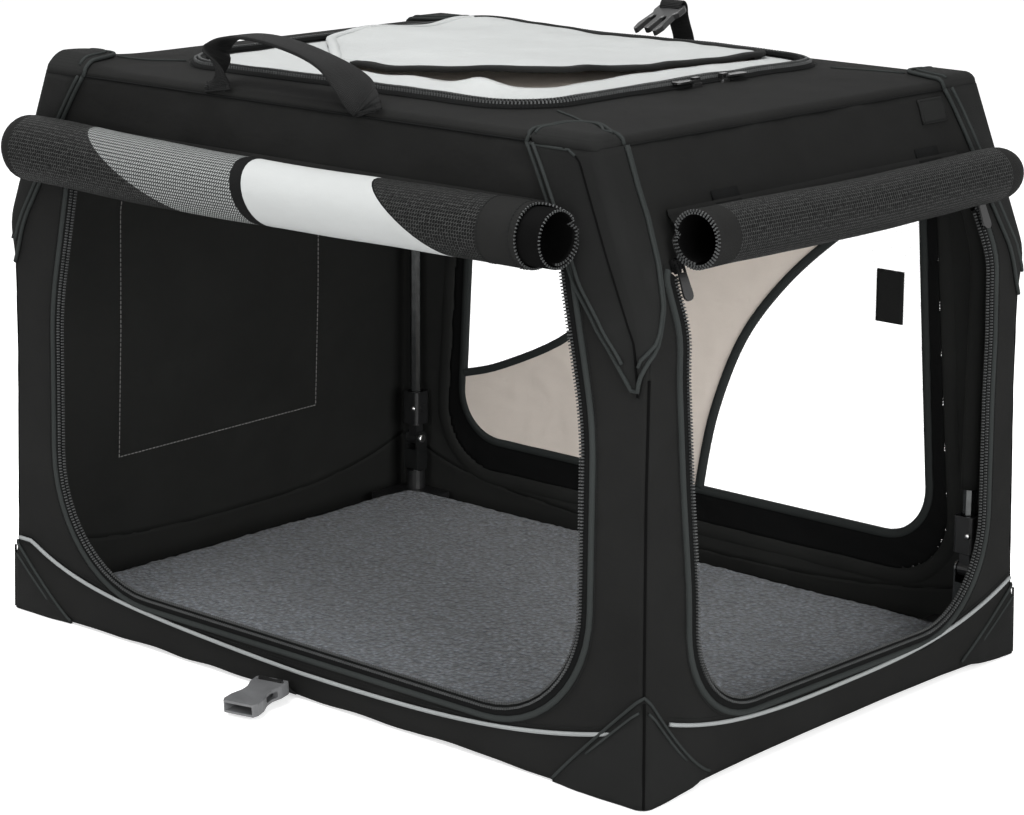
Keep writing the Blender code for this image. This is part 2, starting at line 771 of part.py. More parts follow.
def fabric_cover():
    """Walls, skirts, corner patches, doors and pocket."""
    cloth = black_cloth("wall_cloth")
    mesh_cloth = material("rolled_mesh", (0.02, 0.02, 0.021), 0.7)
    for word, side in (("front", -1), ("rear", 1)):
        long_wall(word, side, cloth)
        long_skirt(word, side, cloth)
    for word, side in (("left", -1), ("right", 1)):
        end_wall(word, side, cloth, door=side > 0)
        end_skirt(word, side, cloth)
    for end, side_y in (("front", -1), ("rear", 1)):
        for hand, side_x in (("left", -1), ("right", 1)):
            corner_patch(f"{end}_{hand}", side_x, side_y, cloth)
    rear_door(mesh_cloth)
    outside_pocket(cloth)
    front_roll(mesh_cloth)
    right_roll(mesh_cloth)


# Handle, closing strap and zips

def ribbon(name, path, thickness, width, finish):
    """A flat webbing strip that follows a path in its local XY."""
    sides = ([], [])
    for index, point in enumerate(path):
        ahead = path[min(index + 1, len(path) - 1)]
        behind = path[max(index - 1, 0)]
        along = (ahead - behind).normalized()
        normal = Vector((-along.y, along.x)) * thickness / 2
        sides[0].append(point + normal)
        sides[1].append(point - normal)
    return plate(name, sides[0] + sides[1][::-1], finish, width)


def carry_handle(axis, finish):
    """Webbing handle that stands on the front edge of the roof."""
    path = smooth_path([
        (-0.129, 0.0), (-0.113, 0.0004), (-0.1105, 0.008), (-0.118, 0.024), (-0.103, 0.0415),
        (-0.062, 0.0475), (-0.010, 0.041), (0.042, 0.0165), (0.066, 0.0020), (0.092, 0.0)],
        steps=4)
    handle = ribbon("carry_handle", path, 0.003, 0.030, finish)
    turn = Matrix.Rotation(math.pi / 2, 4, "X")
    handle.matrix_world = Matrix.Translation((0, -0.243, HEIGHT + 0.0022)) @ turn
    hang_on(handle, axis)


def socket_outline():
    """Waisted outline of the buckle socket, webbing end at y = 0."""
    half = [(0.0150, 0.0), (0.0165, 0.003), (0.0160, 0.013), (0.0125, 0.023),
            (0.0127, 0.031), (0.0165, 0.042), (0.0172, 0.052), (0.0150, 0.0565)]
    right = [Vector(point) for point in half]
    left = [Vector((-x, y)) for x, y in reversed(half)]
    return right + left


def closing_buckle(finish, webbing):
    """Strap stub and buckle socket at the bottom of the front."""
    start = Vector((BUCKLE_X + 0.002, -0.2806, 0.0140))
    aim = Vector((0.013, -0.055, -0.0052)).normalized()
    across = aim.cross(Vector((0, 0, 1))).normalized()
    up = across.cross(aim)
    frame = Matrix((across, aim, up)).transposed().to_4x4()
    place = Matrix.Translation(start) @ frame
    slot = [(-0.0132, 0.0036), (0.0132, 0.0036), (0.0132, 0.0068), (-0.0132, 0.0068)]
    socket = solid_plate("buckle_socket", socket_outline(), finish, 0.0115, [slot])
    socket.matrix_world = place
    bevel(socket, 0.0012)
    opening = [(-0.0092, 0.0120), (0.0092, 0.0120), (0.0098, 0.0350), (0.0160, 0.0700),
               (-0.0160, 0.0700), (-0.0098, 0.0350)]
    mouth = solid_plate("socket_mouth", opening, None, 0.0072)
    window = [(0.0170, -0.0028), (0.0325, -0.0028), (0.0325, 0.0028), (0.0170, 0.0028)]
    windows = solid_plate("socket_windows", rounded(window, (0.001,) * 4, steps=2), None, 0.06)
    windows.matrix_world = Matrix.Rotation(math.pi / 2, 4, "Z") @ Matrix.Rotation(
        math.pi / 2, 4, "X")
    bpy.context.view_layer.update()
    for tool in (mouth, windows):
        tool.matrix_world = place @ tool.matrix_world
    boolean(mouth, windows, "UNION")
    boolean(socket, mouth)
    path = smooth_path([(0.0, 0.0), (-0.004, 0.0022), (-0.0085, 0.0062), (-0.0118, 0.0082)],
                       steps=3)
    stub = ribbon("strap_stub", path, 0.0018, 0.0254, webbing)
    stand = Matrix.Rotation(math.pi / 2, 4, "Z") @ Matrix.Rotation(math.pi / 2, 4, "X")
    stub.matrix_world = Matrix.Translation((BUCKLE_X, -0.2655, 0.0058)) @ stand
    hinge = axis_empty("front_buckle_axis", (0, -0.2702, 0.0135))
    hang_on(socket, hinge)
    hang_on(stub, hinge)


def plug_outline():
    """Buckle plug: webbing bar, tongue and two springy prongs."""
    half = [(0.0150, 0.0), (0.0165, 0.003), (0.0165, 0.012), (0.0138, 0.0165),
            (0.0148, 0.024), (0.0166, 0.035), (0.0150, 0.0435), (0.0126, 0.0455),
            (0.0108, 0.0430), (0.0108, 0.0245), (0.0090, 0.0205), (0.0050, 0.0205),
            (0.0036, 0.0230), (0.0034, 0.0400), (0.0020, 0.0420)]
    right = [Vector(point) for point in half]
    left = [Vector((-x, y)) for x, y in reversed(half)]
    return right + left


def rear_strap(axis, finish, webbing):
    """Strap and buckle plug on the rear edge of the roof."""
    hinge = axis_empty("rear_strap_axis", (0, 0.2600, 0.5220))
    start = Vector((REAR_BUCKLE_X, 0.2444, 0.5586))
    aim = Vector((-0.10, -0.78, -0.42)).normalized()
    across = aim.cross(Vector((0, 0, 1))).normalized()
    up = across.cross(aim)
    frame = Matrix((across, aim, up)).transposed().to_4x4()
    plug = solid_plate("buckle_plug", plug_outline(), finish, 0.0062)
    plug.matrix_world = Matrix.Translation(start) @ frame
    bevel(plug, 0.0010)
    slot = box("plug_slot", (-0.0132, 0.0040, -0.01), (0.0132, 0.0076, 0.01))
    slot.matrix_world = plug.matrix_world
    boolean(plug, slot)
    path = smooth_path([(0.0, -0.028), (0.0008, -0.004), (0.0012, 0.016), (-0.0045, 0.032),
                        (-0.0108, 0.0365)], steps=4)
    strap = ribbon("rear_strap", path, 0.0018, 0.0254, webbing)
    stand = Matrix.Rotation(math.pi / 2, 4, "Z") @ Matrix.Rotation(math.pi / 2, 4, "X")
    strap.matrix_world = Matrix.Translation((REAR_BUCKLE_X, 0.2600, 0.5220)) @ stand
    for piece in (plug, strap):
        hang_on(piece, hinge)
    hang_on(hinge, axis)


def zip_slider(word, place, finish):
    """Slider: a tapered body with a pierced bridge for the pull."""
    body = rounded([(-0.0032, -0.0065), (0.0032, -0.0065), (0.0048, 0.0060), (-0.0048, 0.0060)],
                   (0.002, 0.002, 0.003, 0.003), steps=3)
    slider = solid_plate(f"{word}_slider", body, finish, 0.0032)
    slider.matrix_world = place @ Matrix.Translation((0, 0, 0.0022))
    bridge = box(f"{word}_bridge", (-0.0022, -0.0040, 0.0030), (0.0022, 0.0040, 0.0086))
    tunnel = cylinder(f"{word}_tunnel", (-0.01, 0, 0.0062), (0.01, 0, 0.0062), 0.0015, sides=12)
    for tool, operation in ((bridge, "UNION"), (tunnel, "DIFFERENCE")):
        tool.matrix_world = place @ tool.matrix_world
        boolean(slider, tool, operation)
    return slider


def zip_pull(word, place, finish):
    """Tapered pull tab with a loop whose bar sits in the slider's bridge."""
    bar, arm = 0.0008, 0.0046
    tab = [(-arm, bar), (-arm, -0.0080), (-0.0062, -0.0290), (0.0062, -0.0290),
           (arm, -0.0080), (arm, bar)]
    outline = rounded(tab, (0.0005, 0.002, 0.005, 0.005, 0.002, 0.0005), steps=3)
    loop = [Vector(point) for point in
            ((-0.0030, -bar), (-0.0030, -0.0066), (0.0030, -0.0066), (0.0030, -bar))]
    pull = plate(f"{word}_pull", outline, finish, 0.0016, [loop])
    pull.matrix_world = place @ Matrix.Translation((0, 0, 0.0062))
    return pull


def zips(roof_axis, hoop_axes):
    """Sliders and pulls of the short doorway and of the roof hatch."""
    plastic = black_plastic("zip_metal")
    z = 0.424
    ahead, behind = profile_x(z + 0.01), profile_x(z - 0.01)
    along = Vector((ahead - behind, 0, 0.02)).normalized()
    outward = Vector((along.z, 0, -along.x))
    across = along.cross(outward)
    frame = Matrix((across, along, outward)).transposed().to_4x4()
    for end, side in (("front", -1), ("rear", 1)):
        beside = side * (SHORT_DOOR_TOP_HALF + 0.0045)
        place = Matrix.Translation(Vector((profile_x(z), beside, z)) + outward * 0.0006) @ frame
        hang_on(zip_slider(f"right_zip_{end}", place, plastic), hoop_axes[end])
        hang_on(zip_pull(f"right_zip_{end}", place, plastic), hoop_axes[end])
    for end, y, turn in (("front", -0.004, 0.0), ("rear", 0.034, math.pi)):
        x = HATCH_X + HATCH_HALF_X + 0.0055
        place = Matrix.Translation((x, y, roof_z(x, y) + 0.0006)) @ Matrix.Rotation(turn, 4, "Z")
        hang_on(zip_slider(f"hatch_zip_{end}", place, plastic), roof_axis)
        hang_on(zip_pull(f"hatch_zip_{end}", place, plastic), roof_axis)


def build():
    """Make every piece of the kennel."""
    steel_frame()
    floor_panel()
    fleece_mat()
    fabric_cover()
    roof_axis = axis_empty("roof_drop", (0, 0, HEIGHT))
    hoop_axes = {end: bpy.data.objects[f"{end}_hoop_axis"] for end in ("front", "rear")}
    webbing = material("black_webbing", (0.022, 0.022, 0.023), 0.75)
    roof(roof_axis)
    carry_handle(roof_axis, webbing)
    buckle = material("dark_grey_buckle", (0.10, 0.10, 0.105), 0.4)
    closing_buckle(buckle, webbing)
    rear_strap(roof_axis, buckle, webbing)
    zips(roof_axis, hoop_axes)


build()
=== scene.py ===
"""Looks of the portable pet kennel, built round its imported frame."""
import json
import math
from functools import partial

import bmesh
import bpy
from mathutils import Matrix, Vector, noise


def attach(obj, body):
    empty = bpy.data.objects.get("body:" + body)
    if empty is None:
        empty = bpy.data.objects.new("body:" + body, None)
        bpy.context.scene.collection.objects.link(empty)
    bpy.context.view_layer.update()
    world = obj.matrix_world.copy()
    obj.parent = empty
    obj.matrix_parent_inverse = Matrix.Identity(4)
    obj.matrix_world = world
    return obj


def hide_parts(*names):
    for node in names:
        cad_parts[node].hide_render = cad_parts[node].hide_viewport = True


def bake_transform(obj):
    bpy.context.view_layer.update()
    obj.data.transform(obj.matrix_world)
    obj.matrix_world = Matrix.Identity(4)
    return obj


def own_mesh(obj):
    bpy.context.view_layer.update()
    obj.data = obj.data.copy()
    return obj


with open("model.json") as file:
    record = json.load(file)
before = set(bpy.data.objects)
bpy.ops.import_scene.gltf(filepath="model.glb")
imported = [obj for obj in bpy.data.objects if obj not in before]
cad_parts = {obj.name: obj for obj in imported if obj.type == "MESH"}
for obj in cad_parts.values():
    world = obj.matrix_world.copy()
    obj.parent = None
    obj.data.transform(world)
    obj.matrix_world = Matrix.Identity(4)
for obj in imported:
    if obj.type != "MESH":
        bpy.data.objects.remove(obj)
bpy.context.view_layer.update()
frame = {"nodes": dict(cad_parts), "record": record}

# Cover, in metres
SIDE_X, FRONT_Y, HEIGHT = 0.3782, 0.2632, 0.525
KNEE_Z, KNEE_RADIUS, TOP_INSET_X = 0.374, 0.05, 0.056
WALL_TOP_Z = 0.516
LEAN = 0.006 / WALL_TOP_Z
SLANT = math.atan(TOP_INSET_X / (WALL_TOP_Z - KNEE_Z))
CORNER_R = 0.0065
FLARE, FLARE_Z = (0.006, 0.0015), 0.25
CLOTH = 0.0022
WALL_LOW = 0.03
SKIRT = 0.05
HATCH_X = -0.005
ROOF_HALF = (0.3222, 0.2575)
ROLL_R = 0.007

# Folding
FOLDED_SHARE = 0.2876
SPLIT_Z = 0.3747
LOWER_SHARE, UPPER_SHARE = WALL_TOP_Z * FOLDED_SHARE / SPLIT_Z, 0.02
HOOP_LEGS = {"front": (0.361, -0.247), "rear": (0.346, 0.245)}

CORNERS = (("front", "right"), ("right", "rear"), ("rear", "left"), ("left", "front"))
CORNER_WORDS = ("front_right", "rear_right", "rear_left", "front_left")
UP = Vector((0, 0, 1))


# Numbers and paths

def steps(low, high, size):
    """Even steps of about this size, both ends included."""
    count = max(1, round((high - low) / size))
    return [low + (high - low) * step / count for step in range(count + 1)]


def fine_ends(low, high, insets, start, size):
    """Grid values, close together at both ends."""
    return ([low + inset for inset in insets] + steps(low + start, high - start, size)
            + [high - inset for inset in insets[::-1]])


def ease(value):
    """Smooth rise from 0 to 1."""
    value = max(0.0, min(1.0, value))
    return value * value * (3 - 2 * value)


def wrinkle(x, y, z, size, seed=0.0):
    """Soft repeatable noise between about -1 and 1."""
    return noise.noise(Vector((x / size + seed, y / size - seed, z / size + 2 * seed)))


def hump(x, y, middle, spread):
    """A soft bump of height 1 round a middle."""
    return math.exp(-((x - middle[0]) / spread[0]) ** 2 - ((y - middle[1]) / spread[1]) ** 2)


def read_line(line, z):
    """A value read off a bent line of (z, value) points."""
    for (z0, v0), (z1, v1) in zip(line, line[1:]):
        if z <= z1:
            return v0 + (v1 - v0) * max(0.0, (z - z0) / (z1 - z0))
    return line[-1][1]


def along_path(path):
    """The length of a path up to each of its points."""
    lengths = [0.0]
    for before, after in zip(path, path[1:]):
        lengths.append(lengths[-1] + (Vector(after) - Vector(before)).length)
    return lengths


def direction(path, index, closed=False):
    """The way that a path runs at one of its points."""
    ahead = path[(index + 1) % len(path) if closed else min(index + 1, len(path) - 1)]
    behind = path[index - 1 if closed or index else 0]
    return (ahead - behind).normalized()


def side_way(path, index, closed):
    """The outward direction, in the plane, of an anticlockwise outline."""
    along = direction(path, index, closed)
    return Vector((along.y, -along.x))


def resample(path, gap, closed=False):
    """Evenly spaced points along a path, with the direction at each."""
    path = [Vector(point) for point in path]
    made, carry = [], 0.0
    for before, after in zip(path, path[1:] + path[:1] if closed else path[1:]):
        length = (after - before).length
        if length < 1e-9:
            continue
        way = (after - before) / length
        while carry <= length:
            made.append((before + way * carry, way))
            carry += gap
        carry -= length
    return made


def smooth_line(points, count=8):
    """Points along one smooth curve through the given points."""
    points = [Vector(point) for point in points]
    ends = [2 * points[0] - points[1], *points, 2 * points[-1] - points[-2]]
    path = []
    for index in range(1, len(ends) - 2):
        a, b, c, d = ends[index - 1:index + 3]
        for step in range(count):
            t = step / count
            bend = (2 * a - 5 * b + 4 * c - d) * t * t
            twist = (3 * b - a - 3 * c + d) * t * t * t
            path.append((2 * b + (c - a) * t + bend + twist) / 2)
    path.append(points[-1])
    return path


# Outlines in a wall's own plane, anticlockwise

def pairs(outline, closed=True):
    """The segments of an outline."""
    return zip(outline, outline[1:] + outline[:1] if closed else outline[1:])


def arc_corner(before, corner, after, radius, count):
    """The arc that rounds one corner of an outline."""
    towards_a = (before - corner).normalized()
    towards_b = (after - corner).normalized()
    half = towards_a.angle(towards_b) / 2
    reach = radius / math.tan(half)
    centre = corner + (towards_a + towards_b).normalized() * (radius / math.sin(half))
    first = corner + towards_a * reach - centre
    last = corner + towards_b * reach - centre
    sweep = first.angle(last)
    return [centre + (first * math.sin((1 - step / count) * sweep)
                      + last * math.sin(step / count * sweep)) / math.sin(sweep)
            for step in range(count + 1)]


def rounded(points, radii, count=12):
    """A closed outline with rounded corners."""
    points = [Vector(point) for point in points]
    smooth = []
    for index, (point, radius) in enumerate(zip(points, radii)):
        after = points[(index + 1) % len(points)]
        smooth.extend(arc_corner(points[index - 1], point, after, radius, count))
    return smooth


def rounded_box(x, half_x, half_y, radius, count=12):
    """A rectangle's rounded outline round (x, 0)."""
    return rounded([(x + half_x * a, half_y * b) for a, b in ((-1, -1), (1, -1), (1, 1), (-1, 1))],
                   (radius,) * 4, count)


def grown(outline, grow):
    """An outline moved outwards."""
    return [point + side_way(outline, index, True) * grow for index, point in enumerate(outline)]


def dense(outline, size=0.012, closed=True):
    """An outline with extra points, so that none are further apart than size."""
    outline, made = [Vector(point) for point in outline], []
    for before, after in pairs(outline, closed):
        count = max(1, math.ceil((after - before).length / size))
        made.extend(before.lerp(after, step / count) for step in range(count))
    return made if closed else made + [outline[-1]]


def inside(outline, x, y):
    """Whether a point lies inside an outline."""
    found = False
    for a, b in pairs(outline):
        if (a.y > y) != (b.y > y) and x < a.x + (y - a.y) * (b.x - a.x) / (b.y - a.y):
            found = not found
    return found


def nearest_on(outlines, a, b):
    """The place on some outlines that lies nearest to a point, and how far it is."""
    here, best, found = Vector((a, b)), 1.0, None
    for outline in outlines:
        for first, last in pairs(outline):
            along = last - first
            share = max(0.0, min(1.0, (here - first).dot(along) / max(along.length_squared, 1e-12)))
            point = first + along * share
            if (here - point).length < best:
                best, found = (here - point).length, point
    return found, best


DOORS = {
    "front": rounded([(-0.284, 0.442), (-0.2905, 0.405), (-0.3125, 0.3), (-0.3145, 0.049),
                      (0.3145, 0.049), (0.3125, 0.3), (0.2905, 0.405), (0.284, 0.442)],
                     (0.01, 0.2, 0.3, 0.115, 0.1, 0.3, 0.2, 0.01)),
    "rear": rounded([(-0.284, 0.478), (-0.318, 0.054), (0.318, 0.054), (0.284, 0.478)],
                    (0.04, 0.06, 0.06, 0.04)),
    "right": rounded([(-0.21, 0.416), (-0.2125, 0.345), (-0.1968, 0.165), (-0.1965, 0.059),
                      (0.2085, 0.0525), (0.211, 0.3), (0.2055, 0.416)],
                     (0.006, 0.3, 0.5, 0.075, 0.09, 0.3, 0.006))}
HATCH = rounded_box(HATCH_X, 0.215, 0.205, 0.06)
STRIP_HOLE = rounded([(-0.08, -0.15), (0.157, -0.152), (0.157, 0.182), (-0.19, 0.182),
                      (-0.19, -0.006)], (0.04, 0.05, 0.03, 0.03, 0.04))
FLAP = rounded([(-0.085, -0.132), (0.15, -0.137), (0.15, 0.197), (-0.206, 0.197),
                (-0.206, -0.02)], (0.04, 0.052, 0.03, 0.03, 0.04))
STRIP_RIM, FLAP_RIM = dense(STRIP_HOLE, 0.006), dense(FLAP, 0.006)


# Meshes

def new_object(name, points, faces, finishes, uvs=None, smooth=True):
    """A mesh object with its materials; uvs holds one pair for each vertex."""
    mesh = bpy.data.meshes.new(name)
    mesh.from_pydata([tuple(point) for point in points], [], faces)
    mesh.validate()
    if uvs:
        layer = mesh.uv_layers.new(name="metres")
        for loop in mesh.loops:
            layer.data[loop.index].uv = uvs[loop.vertex_index]
    if smooth:
        mesh.shade_smooth()
    for finish in finishes if isinstance(finishes, (list, tuple)) else [finishes]:
        mesh.materials.append(finish)
    return add_object(name, mesh)


def add_object(name, data):
    """A new object in the scene."""
    made = bpy.data.objects.new(name, data)
    bpy.context.scene.collection.objects.link(made)
    return made


def edit(mesh, change):
    """Run one change on a mesh through bmesh."""
    work = bmesh.new()
    work.from_mesh(mesh)
    change(work)
    work.to_mesh(mesh)
    work.free()


def drop_loose(work):
    """Remove the vertices that no face uses."""
    loose = [vert for vert in work.verts if not vert.link_faces]
    bmesh.ops.delete(work, geom=loose, context="VERTS")


def snap_rim(points, faces, across, up, place, outlines):
    """Move a sheet's cut rim on to the outlines it was cut by."""
    used = {}
    for face in faces:
        for a, b in pairs(face):
            key = (min(a, b), max(a, b))
            used[key] = used.get(key, 0) + 1
    size = max(across[1] - across[0], across[len(across) // 2] - across[len(across) // 2 - 1])
    for index in {vert for edge, count in used.items() if count == 1 for vert in edge}:
        row, column = divmod(index, len(across))
        point, distance = nearest_on(outlines, across[column], up[row])
        if distance < 1.1 * size:
            points[index] = place(point.x, point.y)


def grid(name, across, up, place, finish, keep=None, snap=None):
    """A sheet: place(a, b) for each grid value, without the faces that keep() drops."""
    columns, faces = len(across), []
    points = [place(a, b) for b in up for a in across]
    for row in range(len(up) - 1):
        for column in range(columns - 1):
            a, b = (across[column] + across[column + 1]) / 2, (up[row] + up[row + 1]) / 2
            if keep is None or keep(a, b):
                low = row * columns + column
                faces.append((low, low + 1, low + columns + 1, low + columns))
    if snap:
        snap_rim(points, faces, across, up, place, snap)
    made = new_object(name, points, faces, finish, [(a, b) for b in up for a in across])
    edit(made.data, drop_loose)
    return made


def thicken(piece, thickness, offset=-1.0, lining=0):
    """Give a sheet its thickness, away from its normals; lining picks the inner finish."""
    modifier = piece.modifiers.new("cloth", "SOLIDIFY")
    modifier.thickness = thickness
    modifier.offset = offset
    modifier.material_offset = lining
    bpy.context.view_layer.update()
    graph = bpy.context.evaluated_depsgraph_get()
    mesh = bpy.data.meshes.new_from_object(piece.evaluated_get(graph))
    piece.modifiers.clear()
    piece.data = mesh


def face_outward(piece, outward):
    """Turn a sheet's faces so that most look along a direction."""
    total = sum((face.normal * face.area for face in piece.data.polygons), Vector())
    if total.dot(Vector(outward)) < 0:
        piece.data.flip_normals()


def lined(piece, outward):
    """A sheet made into cloth, with the lining's finish on its inner face."""
    face_outward(piece, outward)
    thicken(piece, CLOTH, lining=1)
    return piece


def strip(name, rows, finish, closed=False, section_closed=False, caps=False):
    """A skin over rows of points, with metres as its UVs."""
    width, count = len(rows[0]), len(rows)
    along, side = along_path([row[0] for row in rows]), along_path(rows[0])
    faces = []
    for row in range(count if closed else count - 1):
        low, high = row * width, ((row + 1) % count) * width
        for column in range(width if section_closed else width - 1):
            after = (column + 1) % width
            faces.append((low + column, high + column, high + after, low + after))
    if caps:
        faces.append(tuple(range(width)))
        faces.append(tuple(reversed(range((count - 1) * width, count * width))))
    return new_object(name, [point for row in rows for point in row], faces, finish,
                      [(a, b) for a in along for b in side])


def circle(sides):
    """Even turns round a circle."""
    return [math.tau * turn / sides for turn in range(sides)]


def rod(name, path, radius, finish, sides=8, closed=False):
    """A round cord along a path."""
    path, up, rows = [Vector(point) for point in path], Vector((0.13, 0.21, 0.97)), []
    for index, point in enumerate(path):
        along = direction(path, index, closed)
        up = (up - along * up.dot(along)).normalized()
        side = along.cross(up)
        rows.append([point + (side * math.cos(t) + up * math.sin(t)) * radius
                     for t in circle(sides)])
    return strip(name, rows, finish, closed, True, not closed)


def ribbon(name, path, width, thickness, finish, across):
    """A webbing strap along a path; across gives its width's direction at a share of it."""
    rows = []
    for index, point in enumerate(path):
        way = direction(path, index)
        side = Vector(across(index / (len(path) - 1)))
        side = (side - way * side.dot(way)).normalized()
        face, w = way.cross(side) * thickness / 2, side * width / 2
        rows.append([point - w * 0.96 + face, point - w * 0.5 + face * 1.15,
                     point + w * 0.5 + face * 1.15, point + w * 0.96 + face, point + w,
                     point + w * 0.96 - face, point - w * 0.96 - face, point - w])
    return strip(name, rows, finish, section_closed=True, caps=True)


def laid(place, path, out):
    """A path laid on a surface: place(a, b, out) for each of its points."""
    return [place(point.x, point.y, out) for point in path]


def band(name, place, path, section, finish, closed=True):
    """A strip laid on a surface; section lists (sideways, outward) pairs."""
    rows = []
    for index, point in enumerate(path):
        way = side_way(path, index, closed)
        rows.append([place(point.x + way.x * w, point.y + way.y * w, h) for w, h in section])
    return strip(name, rows, finish, closed)


def block_mesh(name, places, size, finish):
    """Many small tapered blocks in one mesh, one for each placement matrix."""
    x, y, z = (value / 2 for value in size)
    ring = ((-1, -1), (1, -1), (1, 1), (-1, 1))
    shape = [Vector((x * a, y * b, -z)) for a, b in ring]
    shape += [Vector((x * 0.7 * a, y * 0.8 * b, z)) for a, b in ring]
    sides = ((3, 2, 1, 0), (4, 5, 6, 7), (0, 1, 5, 4), (1, 2, 6, 5), (2, 3, 7, 6), (3, 0, 4, 7))
    points, faces = [], []
    for place in places:
        faces.extend(tuple(len(points) + index for index in face) for face in sides)
        points.extend(place @ corner for corner in shape)
    return new_object(name, points, faces, finish, smooth=False)


def stitches(name, path, outward, finish, gap=0.0034, length=0.0023, width=0.0006):
    """A row of thread stitches along a path; outward gives the cloth's normal at a point."""
    places = []
    for point, way in resample(path, gap):
        normal = Vector(outward(point) if callable(outward) else outward).normalized()
        turn = Matrix((way, normal.cross(way).normalized(), normal)).transposed().to_4x4()
        places.append(Matrix.Translation(point + normal * 0.0002) @ turn)
    return block_mesh(name, places, (length, width, 0.0005), finish)


def teeth(name, path, inward, finish, closed=True, gap=0.0027, size=(0.0013, 0.002, 0.002)):
    """One row of zip teeth along a path; inward gives the way they point at a place."""
    places = []
    for point, way in resample(path, gap, closed):
        aim = inward(point)
        aim = (aim - way * aim.dot(way)).normalized()
        turn = Matrix((way, aim, way.cross(aim))).transposed().to_4x4()
        places.append(Matrix.Translation(point) @ turn)
    return block_mesh(name, places, size, finish)


# The cover's surface

def profile_x(z):
    """Half the cover's width at a height: upright, then leaning in from a soft knee."""
    slope = TOP_INSET_X / (WALL_TOP_Z - KNEE_Z)
    reach = KNEE_RADIUS * math.tan(SLANT / 2) + 0.004
    beyond = z - KNEE_Z
    if beyond <= -reach:
        return SIDE_X + FLARE[0] * max(0.0, 1 - z / FLARE_Z)
    if beyond >= reach:
        return SIDE_X - slope * beyond
    return SIDE_X - slope * (beyond + reach) ** 2 / (4 * reach)


def half_y(z):
    """Half the cover's depth at a height."""
    return FRONT_Y - LEAN * z + FLARE[1] * max(0.0, 1 - z / FLARE_Z)


def sizes(side, z):
    """Half the length of a side and its distance from the middle, at a height."""
    return (profile_x(z), half_y(z)) if side in ("front", "rear") else (half_y(z), profile_x(z))


def reach_of(side, z):
    """How far a side runs, measured along the cloth, to the middle of its corner."""
    return sizes(side, z)[0] - CORNER_R + CORNER_R * math.pi / 4


def turned(side, along, away):
    """World x and y of a place given along and away from a side."""
    return {"front": (along, -away), "rear": (-along, away),
            "right": (away, along), "left": (-away, -along)}[side]


def turned_out(*sides):
    """The outward direction of a side, or of the corner between two."""
    return sum((Vector((*turned(side, 0, 1), 0)) for side in sides), Vector())


def on_wall(side, a, z, out=0.0):
    """A point on the cover: a along the side, seen from outside, and out off the cloth."""
    length, distance = sizes(side, z)
    straight = length - CORNER_R
    turn = max(0.0, min(math.pi / 2, (abs(a) - straight) / CORNER_R))
    along, away = a, distance + out
    if turn > 0:
        along = math.copysign(straight + (CORNER_R + out) * math.sin(turn), a)
        away = distance - CORNER_R + (CORNER_R + out) * math.cos(turn)
    leaning = z > KNEE_Z and side in ("left", "right")
    lift = out * math.sin(SLANT) * math.cos(turn) if leaning else 0.0
    return Vector((*turned(side, along, away), z + lift))


def round_corner(corner, s, z, out):
    """A point near a vertical corner: s runs from the first side (-) to the next (+)."""
    first, second = CORNERS[corner]
    if s <= 0:
        return on_wall(first, reach_of(first, z) + s, z, out)
    return on_wall(second, s - reach_of(second, z), z, out)


def piping_z(side, a):
    """Height of the piped seam: low in the middle of a side."""
    if side in ("right", "left"):
        return 0.0385 + 0.036 * (min(abs(a), FRONT_Y) / FRONT_Y) ** 3
    share = min(abs(a), SIDE_X) / SIDE_X
    if (a > 0) == (side == "front"):
        return 0.0242 + 0.04 * share ** 3.1
    return min(0.07, 0.0242 + 0.0205 * share ** 1.3 + 0.036 * share ** 6)


def hem_z(side, a):
    """Height of the bottom hem: lifted on the right side, between its corners."""
    share = min(1.0, abs(a) / reach_of(side, 0.0))
    if side == "right":
        return 0.0004 + 0.007 * (1 - share ** 3)
    if side == "front":
        return 0.0004 + 0.003 * (1 - share ** 4) * (1 + 0.8 * wrinkle(a, 0, 0, 0.05, 2.2))
    return 0.0004


def belly(side, a, z):
    """How far taut cloth stands off its plane, with soft creases near the corners."""
    edge = ease((reach_of(side, z) - abs(a)) / 0.06)
    crease = 0.0011 * wrinkle(a * 1.5, z * 3.0, len(side), 0.045, 3.1)
    fine = 0.0004 * wrinkle(a, z, len(side), 0.012, 7.7)
    return (crease + fine) * (0.35 + 0.65 * edge)


# Materials

class Value:
    """A shader value: sums with it make maths nodes."""

    def __init__(self, tree, socket):
        self.tree, self.socket = tree, socket

    def __add__(self, other):
        return maths("ADD", self, other)

    def __mul__(self, other):
        return maths("MULTIPLY", self, other)

    def __sub__(self, other):
        return maths("SUBTRACT", self, other)

    def __rsub__(self, other):
        return maths("SUBTRACT", other, self)

    def __abs__(self):
        return maths("ABSOLUTE", self)

    def feed(self, socket):
        """Link the value to a socket."""
        self.tree.links.new(self.socket, socket)


def maths(operation, a, b=0.0):
    """A maths node on values or numbers."""
    tree = next(value.tree for value in (a, b) if isinstance(value, Value))
    made = node(tree, "ShaderNodeMath", operation=operation)
    for socket, value in zip(made.inputs, (a, b)):
        if isinstance(value, Value):
            value.feed(socket)
        else:
            socket.default_value = value
    return Value(tree, made.outputs[0])


def node(tree, kind, **values):
    """A node with its properties and input values set."""
    made = tree.nodes.new(kind)
    for key, value in values.items():
        if hasattr(made, key) and key not in made.inputs:
            setattr(made, key, value)
        else:
            made.inputs[key].default_value = value
    return made


def shader(name, colour, roughness, **more):
    """A Principled material: itself, its nodes and its shader's inputs."""
    made = bpy.data.materials.new(name)
    made.use_nodes = True
    inputs = made.node_tree.nodes["Principled BSDF"].inputs
    inputs["Base Color"].default_value = (*colour, 1)
    inputs["Roughness"].default_value = roughness
    for socket, value in more.items():
        inputs[socket.replace("_", " ")].default_value = value
    return made, made.node_tree, inputs


